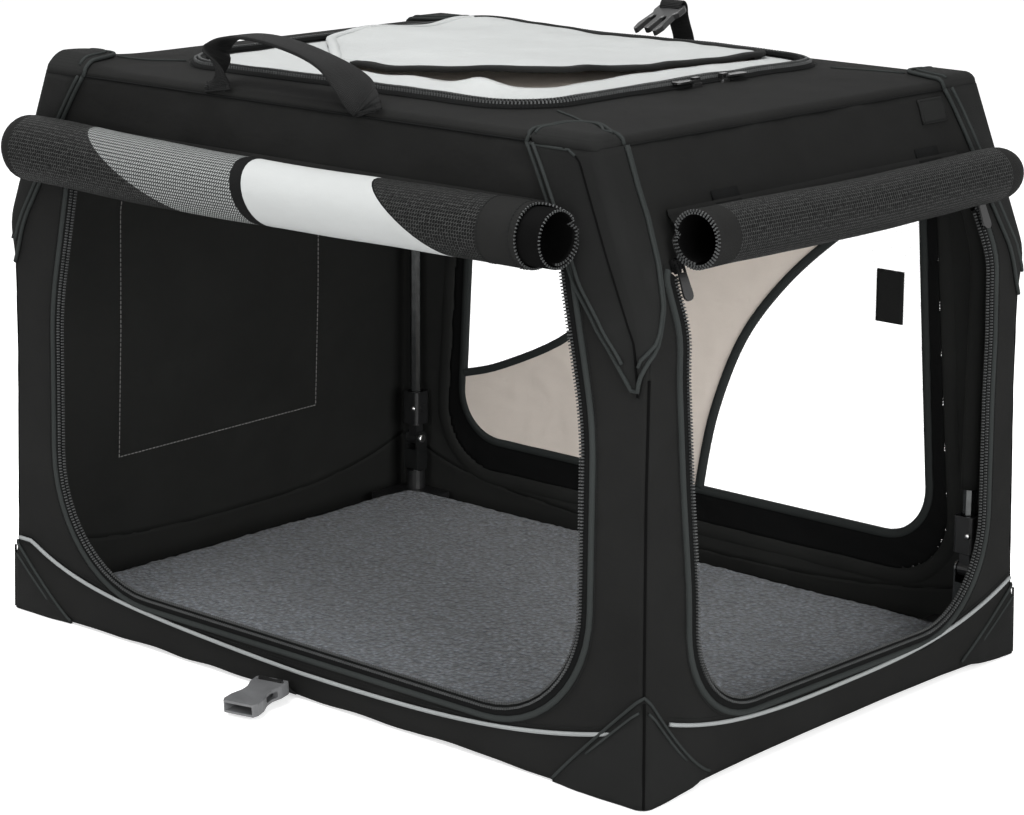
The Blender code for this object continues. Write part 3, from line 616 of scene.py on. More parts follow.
def metres(tree):
    """The two cloth coordinates, in metres, together and apart."""
    uv = node(tree, "ShaderNodeUVMap", uv_map="metres").outputs[0]
    split = tree.nodes.new("ShaderNodeSeparateXYZ")
    tree.links.new(uv, split.inputs[0])
    return uv, Value(tree, split.outputs[0]), Value(tree, split.outputs[1])


def object_place(tree):
    """Object coordinates."""
    return tree.nodes.new("ShaderNodeTexCoord").outputs["Object"]


def noise_of(tree, vector, scale, detail=3.0, rough=0.55):
    """A noise texture's value."""
    made = node(tree, "ShaderNodeTexNoise", Scale=scale, Detail=detail, Roughness=rough)
    tree.links.new(vector, made.inputs["Vector"])
    return Value(tree, made.outputs[0])


def paint(inputs, value, stops):
    """Colour a shader by a ramp over a value."""
    made = value.tree.nodes.new("ShaderNodeValToRGB")
    value.feed(made.inputs[0])
    elements = made.color_ramp.elements
    for element, (position, colour) in zip(elements, (stops[0], stops[-1])):
        element.position, element.color = position, (*colour, 1)
    for position, colour in stops[1:-1]:
        elements.new(position).color = (*colour, 1)
    value.tree.links.new(made.outputs[0], inputs["Base Color"])


def scaled(colour, share):
    """A colour made lighter or darker."""
    return tuple(min(1.0, channel * share) for channel in colour)


def bump(inputs, *layers):
    """Bump layers: (height, depth in metres) pairs, chained."""
    last = None
    for height, depth in layers:
        made = node(height.tree, "ShaderNodeBump", Strength=1.0, Distance=depth)
        height.feed(made.inputs["Height"])
        if last:
            last.feed(made.inputs["Normal"])
        last = Value(height.tree, made.outputs[0])
    last.feed(inputs["Normal"])


def sine(value, turn, pitch):
    """A wave over a length."""
    return maths("SINE", value * (turn / pitch))


def cloth(name, colour, pitch=0.0008, roughness=0.8, sheen=0.0, tone_and_shade_contrast=0.22):
    """Woven polyester: threads, broad noise that is partly tonal change and partly painted shade
    standing in for the shading of wrinkles, and a soft sheen.
    """
    made, tree, inputs = shader(name, colour, roughness, Sheen_Weight=sheen, Sheen_Roughness=0.5,
                                Specular_IOR_Level=0.055)
    uv, u, v = metres(tree)
    threads = maths("MAXIMUM", *(abs(sine(a, math.tau, pitch)) * abs(sine(b, math.pi, pitch))
                                 for a, b in ((u, v), (v, u))))
    # The broad noise is partly the cloth's own tonal change and partly painted shade that stands in
    # for the light and shade of wrinkles.
    tone_and_painted_shade, fleck = noise_of(tree, object_place(tree), 9.0, 5.0), noise_of(tree, uv, 900.0, 2.0)
    paint(inputs, tone_and_painted_shade * 0.55 + (threads * 0.2 + fleck * 0.25),
          [(0.25, scaled(colour, 1 - tone_and_shade_contrast)), (0.5, colour),
           (0.8, scaled(colour, 1 + tone_and_shade_contrast * 1.6))])
    soft = noise_of(tree, object_place(tree), 38.0, 3.0)
    bump(inputs, (soft, 0.0014), (threads, 0.00012))
    return made


def webbing(name, colour, pitch=0.0016):
    """Ribbed webbing: ridges across the strap and a fine crossing thread."""
    made, tree, inputs = shader(name, colour, 0.66, Specular_IOR_Level=0.08)
    _, u, v = metres(tree)
    height = abs(sine(u, math.pi, pitch)) * (abs(sine(v, math.pi, pitch * 0.8)) + 0.8)
    paint(inputs, (height + noise_of(tree, object_place(tree), 60.0)) * 0.4,
          [(0.1, scaled(colour, 0.6)), (0.9, scaled(colour, 1.7))])
    bump(inputs, (height, 0.00035))
    return made


def knit(name, thread, gap, pitch, low, painted_highlight_speck):
    """Rolled mesh: a grid of round threads over gaps of a given colour, with speckle noise that
    lights up scattered threads as painted highlights.
    """
    made, tree, inputs = shader(name, thread, 0.6, Specular_IOR_Level=0.08)
    uv, u, v = metres(tree)
    height = maths("MAXIMUM", *(
        1.0 - abs(sine(a + sine(b, math.tau, pitch) * 0.00022, math.pi, pitch))
        for a, b in ((u, v), (v, u))))
    # Speckle noise raises scattered threads to their lightest colour: painted highlights.
    paint(inputs, height + (noise_of(tree, uv, 320.0) - 0.5) * painted_highlight_speck,
          [(low, gap), (low + 0.16, scaled(thread, 0.6)), (1.0, thread)])
    bump(inputs, (height, 0.0007))
    return made


def fleece(name):
    """Curly fleece: greys that follow the tuft height, darker in the hollows between tufts and
    lighter on their tops.
    """
    made, tree, inputs = shader(name, (0.11, 0.12, 0.14), 0.95, Sheen_Weight=0.3,
                                Sheen_Roughness=0.6, Specular_IOR_Level=0.2)
    where = object_place(tree)
    tufts = node(tree, "ShaderNodeTexVoronoi", Scale=200.0, Randomness=1.0)
    tree.links.new(where, tufts.inputs["Vector"])
    fine, broad = noise_of(tree, where, 330.0, 4.0, 0.7), noise_of(tree, where, 70.0, 3.0)
    height = fine + broad * 0.5 - Value(tree, tufts.outputs["Distance"]) * 0.9
    paint(inputs, height, [(0.1, (0.033, 0.039, 0.047)), (0.42, (0.084, 0.099, 0.117)),
                           (0.7, (0.172, 0.197, 0.226)), (0.95, (0.42, 0.46, 0.50))])
    bump(inputs, (height, 0.0022))
    return made


def plastic(name, colour, roughness, grain=0.00006, scale=1800.0, shine=0.5):
    """Moulded plastic with a fine spark-eroded grain."""
    made, tree, inputs = shader(name, colour, roughness, Specular_IOR_Level=shine)
    where = object_place(tree)
    spark, broad = noise_of(tree, where, scale, 2.0), noise_of(tree, where, 90.0, 3.0)
    paint(inputs, broad, [(0.3, scaled(colour, 0.85)), (0.75, scaled(colour, 1.2))])
    (broad * 0.16 + (roughness - 0.08)).feed(inputs["Roughness"])
    bump(inputs, (spark, grain))
    return made


def steel(name, colour, roughness, metallic=1.0):
    """Drawn steel tube with a coat and handling marks."""
    made, tree, inputs = shader(name, colour, roughness, Metallic=metallic, Coat_Weight=0.6,
                                Coat_Roughness=0.12)
    marks = noise_of(tree, object_place(tree), 140.0, 6.0, 0.7)
    paint(inputs, marks, [(0.35, scaled(colour, 0.8)), (0.7, scaled(colour, 1.25))])
    (marks * 0.14 + (roughness - 0.06)).feed(inputs["Roughness"])
    bump(inputs, (marks, 0.00003))
    return made


BLACK = cloth("black_cloth", (0.0098, 0.0099, 0.0096), tone_and_shade_contrast=0.3)
# The same black cloth as the outside, made lighter for the inner faces: painted light standing in
# for the light that reaches inside the cover.
LINING_PAINTED_LIGHT = cloth("black_lining_painted_light", (0.0165, 0.017, 0.0162), roughness=0.72)
BINDING = cloth("edge_binding", (0.0235, 0.0262, 0.0256), pitch=0.0011)
PATCH = cloth("patch_cloth", (0.0118, 0.0121, 0.0118), pitch=0.0012, tone_and_shade_contrast=0.3)
TAPE = cloth("zip_tape", (0.0045, 0.0047, 0.0047), pitch=0.0009)
PALE = cloth("pale_grey_cloth", (0.385, 0.395, 0.392), pitch=0.0007, tone_and_shade_contrast=0.05)
# The pale grey cloth's inner face: its warm beige is painted shade, and its high brightness is
# painted light coming through the thin cloth from behind.
TAUPE_PAINTED_SHADE_AND_LIGHT = cloth("taupe_painted_shade_and_light", (0.7, 0.63, 0.565), pitch=0.0007, tone_and_shade_contrast=0.07)
REFLECTIVE = cloth("reflective_piping", (0.25, 0.262, 0.262), 0.0009, 0.42, 0.1, 0.12)
WEBBING = webbing("black_webbing", (0.008, 0.0081, 0.0081))
# Its near-black gaps are painted shade: the shaded inside of the roll seen between the threads.
ROLLED_MESH = knit("rolled_mesh", (0.043, 0.0445, 0.043), (0.0018,) * 3, 0.0028, 0.62, 1.3)
PALE_MESH = knit("mesh_over_pale", (0.028, 0.029, 0.03), (0.255, 0.265, 0.26), 0.0027, 0.36, 0.4)
MESH_THREAD = plastic("mesh_thread", (0.05, 0.05, 0.052), 0.6)
FLEECE = fleece("grey_fleece")
ZIP_PLASTIC = plastic("zip_teeth", (0.052, 0.054, 0.054), 0.45, shine=0.25)
ZIP_METAL = plastic("zip_lacquer", (0.0065, 0.0065, 0.0066), 0.22)
FRAME_PLASTIC = plastic("frame_plastic", (0.01, 0.0103, 0.0106), 0.4)
BUCKLE = plastic("buckle_plastic", (0.1, 0.102, 0.105), 0.38, grain=0.00009, scale=1200.0)
DARK_BUCKLE = plastic("dark_buckle_plastic", (0.014, 0.0142, 0.0145), 0.33, grain=0.00009)
THREAD = plastic("black_thread", (0.011, 0.0115, 0.0115), 0.8, shine=0.05)
# Very dark: the colour of sewn seams, and also painted shade for the core of the rolled doors.
SEAM_AND_PAINTED_SHADE = plastic("dark_seam_and_painted_shade", (0.0022,) * 3, 0.8, shine=0.03)
PALE_THREAD = plastic("grey_thread", (0.2, 0.2, 0.195), 0.8, shine=0.1)
TUBE_STEEL = steel("dark_tube_steel", (0.09, 0.094, 0.094), 0.2, metallic=0.9)
RIVET_STEEL = steel("rivet_steel", (0.62, 0.62, 0.61), 0.3)


# Riding

def cut_at_split(piece):
    """Cut a piece in two at the knee's height; the part above it is a new object."""
    upper = add_object(f"{piece.name}_top", piece.data.copy())
    for part, lower in ((piece, True), (upper, False)):
        edit(part.data, lambda work: bmesh.ops.bisect_plane(
            work, geom=work.verts[:] + work.edges[:] + work.faces[:], plane_co=(0, 0, SPLIT_Z),
            plane_no=UP, clear_outer=lower, clear_inner=not lower))
    return upper


def carry(piece, body, slot, replaced=(), top=0.0, keep=None):
    """Fix a piece to a body; with keep, the piece gets a mesh of its own, and replaced frame pieces
    are hidden.
    """
    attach(piece, body)
    if keep:
        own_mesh(piece)
    if replaced:
        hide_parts(*replaced)


def ride_base(piece, *replaced, slot="black_cloth"):
    """A piece of the standing cover: below the knee it goes with the base and above it with the
    roof; a piece across the knee is cut in two there."""
    heights = [vert.co.z for vert in piece.data.vertices]
    if min(heights) >= SPLIT_Z:
        carry(piece, "roof", slot, replaced, WALL_TOP_Z, UPPER_SHARE)
        return
    if max(heights) > SPLIT_Z:
        carry(cut_at_split(piece), "roof", slot, (), WALL_TOP_Z, UPPER_SHARE)
    carry(piece, "base", slot, replaced, 0.0, LOWER_SHARE)


def ride_roll(piece, *replaced, slot="black_cloth"):
    """A rolled door: it stays whole and goes with the base."""
    carry(piece, "base", slot, replaced, 0.0, FOLDED_SHARE)


def ride_roof(piece, *replaced, slot="black_cloth"):
    """A piece of the roof."""
    carry(piece, "roof", slot, replaced)


# Sides

RIM = (0.0, 0.0013, 0.0026, 0.0039, 0.0052, 0.0072)
DOOR_TRIMS = (
    ("tape", TAPE, ((-0.0008, -0.0016), (-0.0004, 0.0006), (0.003, 0.0012), (0.0072, 0.0013),
                    (0.0092, 0.0004))),
    ("cord", BINDING, ((0.0084, 0.0002), (0.009, 0.0018), (0.0104, 0.0027), (0.012, 0.0027),
                       (0.0134, 0.0018), (0.014, 0.0002))),
    ("lining", LINING_PAINTED_LIGHT, ((-0.0008, -0.0004), (0.0002, -0.003), (0.003, -0.0042), (0.012, -0.004),
                        (0.015, -0.0022))))


def in_wall(side, a, b):
    """A grid place on a wall: along the side and up, in metres, as a and z on the cover."""
    low = piping_z(side, a)
    z = b if b > SPLIT_Z else low + (SPLIT_Z - low) * (b - WALL_LOW) / (SPLIT_Z - WALL_LOW)
    return a / reach_of(side, 0.2) * reach_of(side, z), z


def wall(side):
    """One side of the cover above the piped seam."""
    reach = reach_of(side, 0.2)
    hole = grown(DOORS[side], 0.007) if side in DOORS else None

    def lay(a, b):
        x, z = in_wall(side, a, b)
        return on_wall(side, x, z, belly(side, x, z))

    piece = grid(f"cover_{side}", fine_ends(-reach, reach, RIM, 0.0105, 0.006),
                 steps(WALL_LOW, WALL_TOP_Z, 0.006), lay, [BLACK, LINING_PAINTED_LIGHT],
                 lambda a, b: not (hole and inside(hole, *in_wall(side, a, b))))
    ride_base(lined(piece, turned_out(side)), f"wall_{side}")


def skirt(side):
    """The band below the piped seam."""
    reach = reach_of(side, 0.0)

    def lay(a, b):
        low, high = hem_z(side, a), piping_z(side, a) + 0.001
        z = low + (high - low) * b / SKIRT
        puff = 0.0012 * math.sin(math.pi * b / SKIRT)
        return on_wall(side, a, z, puff + 0.4 * belly(side, a, z * 2))

    piece = grid(f"hem_{side}", fine_ends(-reach, reach, RIM, 0.0105, 0.008),
                 steps(0, SKIRT, 0.006), lay, [BLACK, LINING_PAINTED_LIGHT])
    ride_base(lined(piece, turned_out(side)), f"skirt_{side}")


def seam_piping(side):
    """Reflective piping along the seam, and its stitching; the near corner's patch covers it."""
    reach, under_patch, gap = reach_of(side, 0.06), 0.029, 0.004
    hidden = 0.012 if side in ("rear", "left") else 0.0
    low = -reach + (under_patch if side == "right" else gap) + hidden
    high = reach - (under_patch if side == "front" else gap) - hidden

    def run(size, up, out):
        return [on_wall(side, a, piping_z(side, a) + up, out) for a in steps(low, high, size)]

    ride_base(rod(f"piping_{side}", run(0.008, 0.0, 0.0012), 0.0018, REFLECTIVE))
    ride_base(stitches(f"piping_stitch_{side}", run(0.01, 0.0052, 0.0006), turned_out(side),
                       THREAD))


def zipped_part(side, grow=0.0):
    """The doorway's outline; an open one without its top, where the door is sewn on."""
    outline = grown(DOORS[side], grow)
    return dense(outline, 0.01) if side == "rear" else dense(outline[6:-6], 0.01, False)


def doorway_trim(side):
    """Zip tape, teeth, a dark band and a corded seam round a doorway."""
    closed, place = side == "rear", partial(on_wall, side)
    for word, finish, section in DOOR_TRIMS:
        ride_base(band(f"door_{word}_{side}", place, zipped_part(side), section, finish, closed))
    middle = on_wall(side, 0, 0.25)
    for word, inset, out in (("edge", -0.0014, 0.0004), ("inner", 0.0024, 0.0022)):
        ride_base(teeth(f"door_zip_{side}_{word}", laid(place, zipped_part(side, inset), out),
                        lambda point: middle - point, ZIP_METAL if closed else ZIP_PLASTIC,
                        closed))
    ride_base(stitches(f"door_stitch_{side}", laid(place, zipped_part(side, 0.016), 0.0011),
                       turned_out(side), THREAD))


def across_corner():
    """Grid values from -1 to 1, close together at the corner."""
    rim = [0.0, 0.02, 0.04, 0.06, 0.08, 0.12, 0.17, 0.24, 0.32] + steps(0.4, 0.9, 0.1) + [0.96, 1.0]
    return [-value for value in rim[:0:-1]] + rim


def bottom_patch(corner):
    """Padded triangle round a bottom corner, with bound edges."""
    legs, top = ((0.082, 0.078), 0.0655) if corner else ((0.092, 0.08), 0.0925)
    raised = [0.008 * (side == "right") for side in CORNERS[corner]]
    word = CORNER_WORDS[corner]

    def hem(c):
        return 0.0006 + raised[0 if c < 0 else 1] * c * c

    def rim(c):
        share = max(0.0, 1 - abs(c))
        return hem(c) + 0.003 + (top - 0.003 - hem(c)) * (share ** (0.95 if c < 0 else 1.18))

    def at(c, z, out):
        return round_corner(corner, c * (legs[0] if c < 0 else legs[1]), z, out)

    def lay(c, b):
        share = b / 0.09
        z = hem(c) + (rim(c) - hem(c)) * share
        full = ease((1 - abs(c)) / 0.35) * ease((1 - share) / 0.25)
        lift = 0.0014 + 0.0026 * full
        return at(c, z, lift + 0.001 * full * wrinkle(c * 0.08, z, corner, 0.025, 4.0))

    piece = grid(f"corner_patch_cloth_{word}", across_corner(), steps(0, 0.09, 0.006), lay,
                 [PATCH, LINING_PAINTED_LIGHT])
    ride_base(lined(piece, turned_out(*CORNERS[corner])), f"corner_patch_{word}")
    ride_base(rod(f"corner_patch_edge_{word}", [at(c, rim(c), 0.002) for c in across_corner()],
                  0.0014, BINDING))
    for mark, sign in (("first", -1), ("second", 1)):
        line = [at(sign * c, rim(c * sign) - 0.0095 * (1 - 0.5 * c), 0.0036)
                for c in (0.03, 0.1, 0.18, 0.26, 0.36, 0.48, 0.6)]
        ride_base(rod(f"corner_patch_{mark}_{word}", line, 0.0011, BINDING))
    seam = [at(0, z, 0.0041) for z in steps(0.001, rim(0) - 0.004, 0.006)]
    ride_base(rod(f"corner_patch_seam_{word}", seam, 0.0011, SEAM_AND_PAINTED_SHADE))


def corner_seam(corner):
    """The dark seam down a vertical corner, from its top patch to its bottom patch."""
    line = [round_corner(corner, 0, z, 0.0002 + 0.0004 * wrinkle(z, 0, 0, 0.02))
            for z in steps(0.06 if corner else 0.088, 0.345, 0.008)]
    ride_base(rod(f"corner_seam_{CORNER_WORDS[corner]}", line, 0.0011, SEAM_AND_PAINTED_SHADE))


LONG_EDGE = [(0.3285, 0.009), (0.3758, 0.0474), (0.4111, 0.0607), (0.4701, 0.0642),
             (0.4967, 0.0666), (0.522, 0.07)]
SHORT_EDGE = [(0.3285, -0.009), (0.3435, -0.0075), (0.362, 0.0), (0.3983, 0.0234),
              (0.4275, 0.0303), (0.4619, 0.0325), (0.4846, 0.031), (0.522, 0.031)]
FAR_EDGE = [(0.3285, 0.0008), (0.352, 0.009), (0.376, 0.016), (0.42, 0.027), (0.4624, 0.032),
            (0.4824, 0.037), (0.5, 0.042), (0.522, 0.05)]
PATCH_SEAM = [(0.3285, 0.0088), (0.3739, 0.0104), (0.3838, 0.0127), (0.4332, 0.0155),
              (0.5, 0.0165), (0.522, 0.0165)]
SEAM_TURN = ((0.017, 0.506), (0.0195, 0.51), (0.024, 0.5132), (0.03, 0.5146))


def patch_edges(corner, z):
    """Where the top corner patch ends on its two sides, measured from the corner."""
    long_edge = read_line(FAR_EDGE if corner else LONG_EDGE, z)
    short_edge = read_line(FAR_EDGE if corner else SHORT_EDGE, z)
    if CORNERS[corner][0] in ("front", "rear"):
        return -long_edge, short_edge
    return -short_edge, long_edge


def patch_lift(c):
    """A padded patch's stand-off: flat at its rims."""
    return 0.0012 + 0.0036 * (1 - abs(c) ** 6)


def top_patch(corner):
    """Long padded patch over a top corner, with doubled cords along its edges."""
    low, high, word = 0.3295, 0.5155, CORNER_WORDS[corner]

    def lay(c, z):
        left, right = patch_edges(corner, z)
        lift = 0.0012 + (patch_lift(c) - 0.0012) * ease((z - low) / 0.05)
        return round_corner(corner, (left + right) / 2 + (right - left) / 2 * c, z, lift)

    def edge(hand, inset, share, lift):
        """Points up one edge of the patch, a little in from it."""
        line = []
        for z in steps(low + inset, high, 0.006):
            edges = patch_edges(corner, z)
            point = round_corner(corner, edges[hand] + inset * share, z, lift)
            if edges[1] - edges[0] > 2.4 * inset and point.z > low + 2.6 * inset:
                line.append(point)
        return line

    piece = grid(f"top_patch_{word}", steps(-1, 1, 0.03), steps(low, high, 0.006), lay,
                 [PATCH, LINING_PAINTED_LIGHT])
    ride_base(lined(piece, turned_out(*CORNERS[corner])))
    rim = edge(0, 0.0, 0, 0.0022)[::-1] + edge(1, 0.0, 0, 0.0022)
    ride_base(rod(f"top_patch_outer_{word}", rim, 0.0018, BINDING))
    for mark, hand, share in (("low", 0, 1), ("high", 1, -0.55)):
        ride_base(rod(f"top_patch_{mark}_{word}", edge(hand, 0.008, share, 0.0042), 0.0015,
                      BINDING))
    if corner:
        return
    seam = [round_corner(corner, -read_line(PATCH_SEAM, z), z,
                         0.0047 - 0.003 * ease((0.37 - z) / 0.04))
            for z in steps(0.331, 0.502, 0.006)]
    turn = [round_corner(corner, -s, z, 0.0046) for s, z in SEAM_TURN]
    ride_base(rod(f"top_patch_seam_{word}", seam + turn, 0.001, SEAM_AND_PAINTED_SHADE))
    long_edge = -patch_edges(corner, 0.515)[0]
    top = [round_corner(corner, -s, 0.514, patch_lift(s / long_edge) - 0.0004)
           for s in steps(0.024, long_edge, 0.006)]
    ride_base(rod(f"top_patch_top_{word}", turn[1:3] + top, 0.0013, BINDING))


def build_walls():
    """All four sides with their doorways, seams and corner patches."""
    for side in ("front", "rear", "right", "left"):
        wall(side)
        skirt(side)
        seam_piping(side)
        if side in DOORS:
            doorway_trim(side)
    for corner in range(4):
        bottom_patch(corner)
        corner_seam(corner)
        top_patch(corner)


# Rear door, seen through the open doorways

WINDOW = rounded([(-0.296, 0.086), (0.296, 0.086), (0.272, 0.45), (-0.272, 0.45)],
                 (0.05, 0.05, 0.035, 0.035))
BAND_UPPER = [(-0.3, 0.15), (-0.236, 0.17), (-0.144, 0.216), (-0.072, 0.285), (-0.018, 0.365),
              (0.012, 0.46)]
BAND_LOWER = [(0.022, 0.07), (0.025, 0.101), (0.041, 0.17), (0.073, 0.245), (0.119, 0.305),
              (0.175, 0.356), (0.24, 0.402), (0.3, 0.43)]
FLAT_BINDING = ((-0.004, -0.0034), (-0.0036, -0.0044), (0.0036, -0.0044), (0.004, -0.0034),
                (0.004, 0.0004), (0.0036, 0.0012), (-0.0036, 0.0012), (-0.004, 0.0004),
                (-0.004, -0.0034))


def rear_at(x, z, out):
    """A point on the rear door, in world x: the side itself runs from +X to -X."""
    return on_wall("rear", -x, z, out)


def rear_door():
    """Border, mesh window, curved band and tab of the closed rear door."""
    edge = grown(DOORS["rear"], -0.0004)
    across, up = steps(-0.32, 0.32, 0.0035), steps(0.05, 0.482, 0.0035)
    piece = grid("rear_door_border", across, up,
                 lambda x, z: rear_at(x, z, -0.0004 + belly("rear", x, z)), [BLACK, TAPE],
                 lambda x, z: inside(edge, x, z) and not inside(WINDOW, x, z))
    ride_base(lined(piece, (0, 1, 0)), "rear_door")
    mesh_window("rear_window", WINDOW, lambda x, z: rear_at(x, z, -0.0016))
    low, high = smooth_line(BAND_LOWER, 6), smooth_line(BAND_UPPER, 6)
    ends = [Vector(point) for point in ((0.3, 0.47), (-0.31, 0.08), (-0.1, 0.07))]
    region = low + ends[:1] + high[::-1] + ends[1:]
    # The inner face takes the painted beige of the pale cloth seen in shade with light through it;
    # the outer face is the plain pale cloth.
    for name, out, finish, look in (("rear_band_inside", -0.0026, TAUPE_PAINTED_SHADE_AND_LIGHT, -1),
                                    ("rear_band_outside", -0.0006, PALE, 1)):
        panel = grid(name, across, up,
                     lambda x, z, o=out: rear_at(x, z, o + 0.6 * belly("rear", x, z)), finish,
                     lambda x, z: inside(WINDOW, x, z) and inside(region, x, z))
        face_outward(panel, (0, look, 0))
        ride_base(panel, slot="pale_grey_cloth")
    for name, path in (("rear_window_binding", dense(WINDOW, 0.01)), ("rear_band_low", low),
                       ("rear_band_high", high)):
        closed = name == "rear_window_binding"
        line = [Vector((-point.x, point.y)) for point in path
                if closed or inside(WINDOW, point.x, point.y)]
        ride_base(band(name, partial(on_wall, "rear"), line, FLAT_BINDING, BINDING, closed))
    tab = grid("rear_door_tab", steps(0.229, 0.258, 0.003), steps(0.288, 0.337, 0.003),
               lambda x, z: rear_at(x, z, -0.0052), [PATCH, LINING_PAINTED_LIGHT])
    face_outward(tab, (0, -1, 0))
    thicken(tab, 0.0022)
    ride_base(tab)


def crossings(outline, value, vertical):
    """Sorted places where a straight line crosses an outline."""
    found = []
    for a, b in pairs(outline):
        p, q = (a.x, b.x) if vertical else (a.y, b.y)
        if (p > value) != (q > value):
            share = (value - p) / (q - p)
            found.append(a.y + (b.y - a.y) * share if vertical else a.x + (b.x - a.x) * share)
    return sorted(found)


def mesh_window(name, outline, lay, pitch=0.0026, width=0.00017):
    """Real open mesh: flat threads both ways, clipped to an outline."""
    points, faces = [], []
    for vertical in (True, False):
        ends = [p.x if vertical else p.y for p in outline]
        low, high = min(ends), max(ends)
        for index in range(int((high - low) / pitch)):
            at = low + pitch * (index + 0.5)
            cuts = crossings(outline, at, vertical)
            for start, end in zip(cuts[::2], cuts[1::2]):
                first, pieces = len(points), steps(start, end, 0.03)
                for along in pieces:
                    for edge in (at - width / 2, at + width / 2):
                        points.append(lay(edge, along) if vertical else lay(along, edge))
                faces.extend((first + 2 * i, first + 2 * i + 1, first + 2 * i + 3,
                              first + 2 * i + 2) for i in range(len(pieces) - 1))
    ride_base(new_object(name, points, faces, MESH_THREAD), slot="black_mesh")


# Roof

ROOF_RIM = (0.0, 0.0012, 0.0028, 0.0048, 0.0072, 0.01)
SEAM_CORD_Z = 0.5154
HATCH_NEAR_CORNER = Vector((0.118, -0.104))
STRIP_FOOT = rounded_box(HATCH_X, 0.2125, 0.2025, 0.0575)
FLAP_EDGING = ((-0.005, -0.0026), (0.0018, -0.0028), (0.0026, -0.0006), (0.0018, 0.0016),
               (-0.0064, 0.0018), (-0.007, 0.0002))
HATCH_TAPE = ((-0.0078, 0.003), (-0.0074, 0.0062), (-0.003, 0.0056), (0.003, 0.0034),
              (0.0052, 0.0022), (0.0057, 0.0002))
NEAR_ARCH = [(0.07, 0.0), (0.065, 0.015), (0.06, 0.036), (0.038, 0.046), (0.01, 0.03),
             (0.0, 0.029)]
FAR_ARCH = [(0.0, 0.049), (0.015, 0.05), (0.04, 0.043), (0.05, 0.015), (0.05, 0.0)]


def roof_edge(x, y):
    """Distance in from the roof's rounded outline."""
    dx, dy = ROOF_HALF[0] - abs(x), ROOF_HALF[1] - abs(y)
    if dx < CORNER_R and dy < CORNER_R:
        return CORNER_R - math.hypot(CORNER_R - dx, CORNER_R - dy)
    return min(dx, dy)


def roof_z(x, y):
    """Height of the roof cloth: a rolled edge, a low crown and slack dips."""
    edge = roof_edge(x, y)
    drop = ROLL_R - math.sqrt(max(0.0, ROLL_R ** 2 - max(0.0, ROLL_R - edge) ** 2))
    hx, hy = ROOF_HALF
    crown = 0.0078 * (1 - abs(x / hx) ** 4.5) * (1 - abs(y / hy) ** 4.5)
    slack = ease(edge / 0.05)
    dips = slack * (0.0013 * wrinkle(x, y, 0.0, 0.09, 1.3) + 0.0007 * wrinkle(x, y, 1.0, 0.03, 5.0))
    plump = 0.0075 * hump(x, y, (-0.314, -0.248), (0.055, 0.055))
    return HEIGHT - 0.0026 - drop + crown + dips + plump * ease(edge / 0.01)


def on_roof(x, y, out=0.0):
    """A point on the roof or just off it."""
    return Vector((x, y, roof_z(x, y) + out))


def roof_place(x, y):
    """A roof grid place, drawn in to the rounded corners."""
    cx, cy = ROOF_HALF[0] - CORNER_R, ROOF_HALF[1] - CORNER_R
    if abs(x) > cx and abs(y) > cy:
        dx, dy = abs(x) - cx, abs(y) - cy
        far, length = max(dx, dy), math.hypot(dx, dy)
        x = math.copysign(cx + dx * far / length, x)
        y = math.copysign(cy + dy * far / length, y)
    return on_roof(x, y)


def off_roof(x, y, out):
    """A point off the roof along its normal, round its rolled edge too."""
    point = roof_place(x, y)
    dx, dy = ROOF_HALF[0] - abs(point.x), ROOF_HALF[1] - abs(point.y)
    way = Vector((1, 0)) if dx < dy else Vector((0, 1))
    if dx < CORNER_R and dy < CORNER_R:
        way = Vector((CORNER_R - dx, CORNER_R - dy)).normalized()
    lean = max(0.0, min(1.0, 1 - roof_edge(point.x, point.y) / ROLL_R))
    away = Vector((math.copysign(way.x, x) * lean, math.copysign(way.y, y) * lean,
                   math.sqrt(1 - lean * lean)))
    return point + away * out


def near(points, x, y):
    """Distance from a place to the nearest of some points."""
    here = Vector((x, y))
    return min((here - point).length for point in points)


def strip_height(x, y):
    """Stand-off of the pale strip that frames the hatch; its free edge curls and waves."""
    free = ease(1 - near(STRIP_RIM, x, y) / 0.03)
    wave = 0.0035 + 0.007 * hump(x, y, (0.108, -0.15), (0.022, 0.03))
    wave += 0.0018 * wrinkle(x, y, 2.0, 0.045, 0.4)
    return 0.0008 + free * wave * ease((0.20 - y) / 0.20)


def flap_height(x, y):
    """Stand-off of the loose pale flap: lifted at its near corner and slack elsewhere."""
    corner = math.exp(-((Vector((x, y)) - HATCH_NEAR_CORNER).length / 0.085) ** 2)
    middle = 0.0046 * ease(near(FLAP_RIM, x, y) / 0.09)
    folds = 0.0022 * wrinkle(x, y, 3.0, 0.075, 2.0) + 0.0008 * wrinkle(x, y, 3.0, 0.028, 6.0)
    far_left = 0.003 * math.exp(-((x + 0.19) / 0.05) ** 2) * (1 + math.sin(y * 46.0))
    return 0.0052 + 0.0125 * corner + middle + folds * (1 - 0.5 * corner) + far_left


def pale_sheet(name, across, up, height, thickness, *replaced, finish=PALE, **cut):
    """A sheet of the hatch; height gives its stand-off, and cut is keep and snap for grid."""
    sheet = grid(name, across, up, lambda x, y: on_roof(x, y, height(x, y)), finish, **cut)
    face_outward(sheet, UP)
    thicken(sheet, thickness)
    ride_roof(sheet, *replaced, slot="pale_grey_cloth")


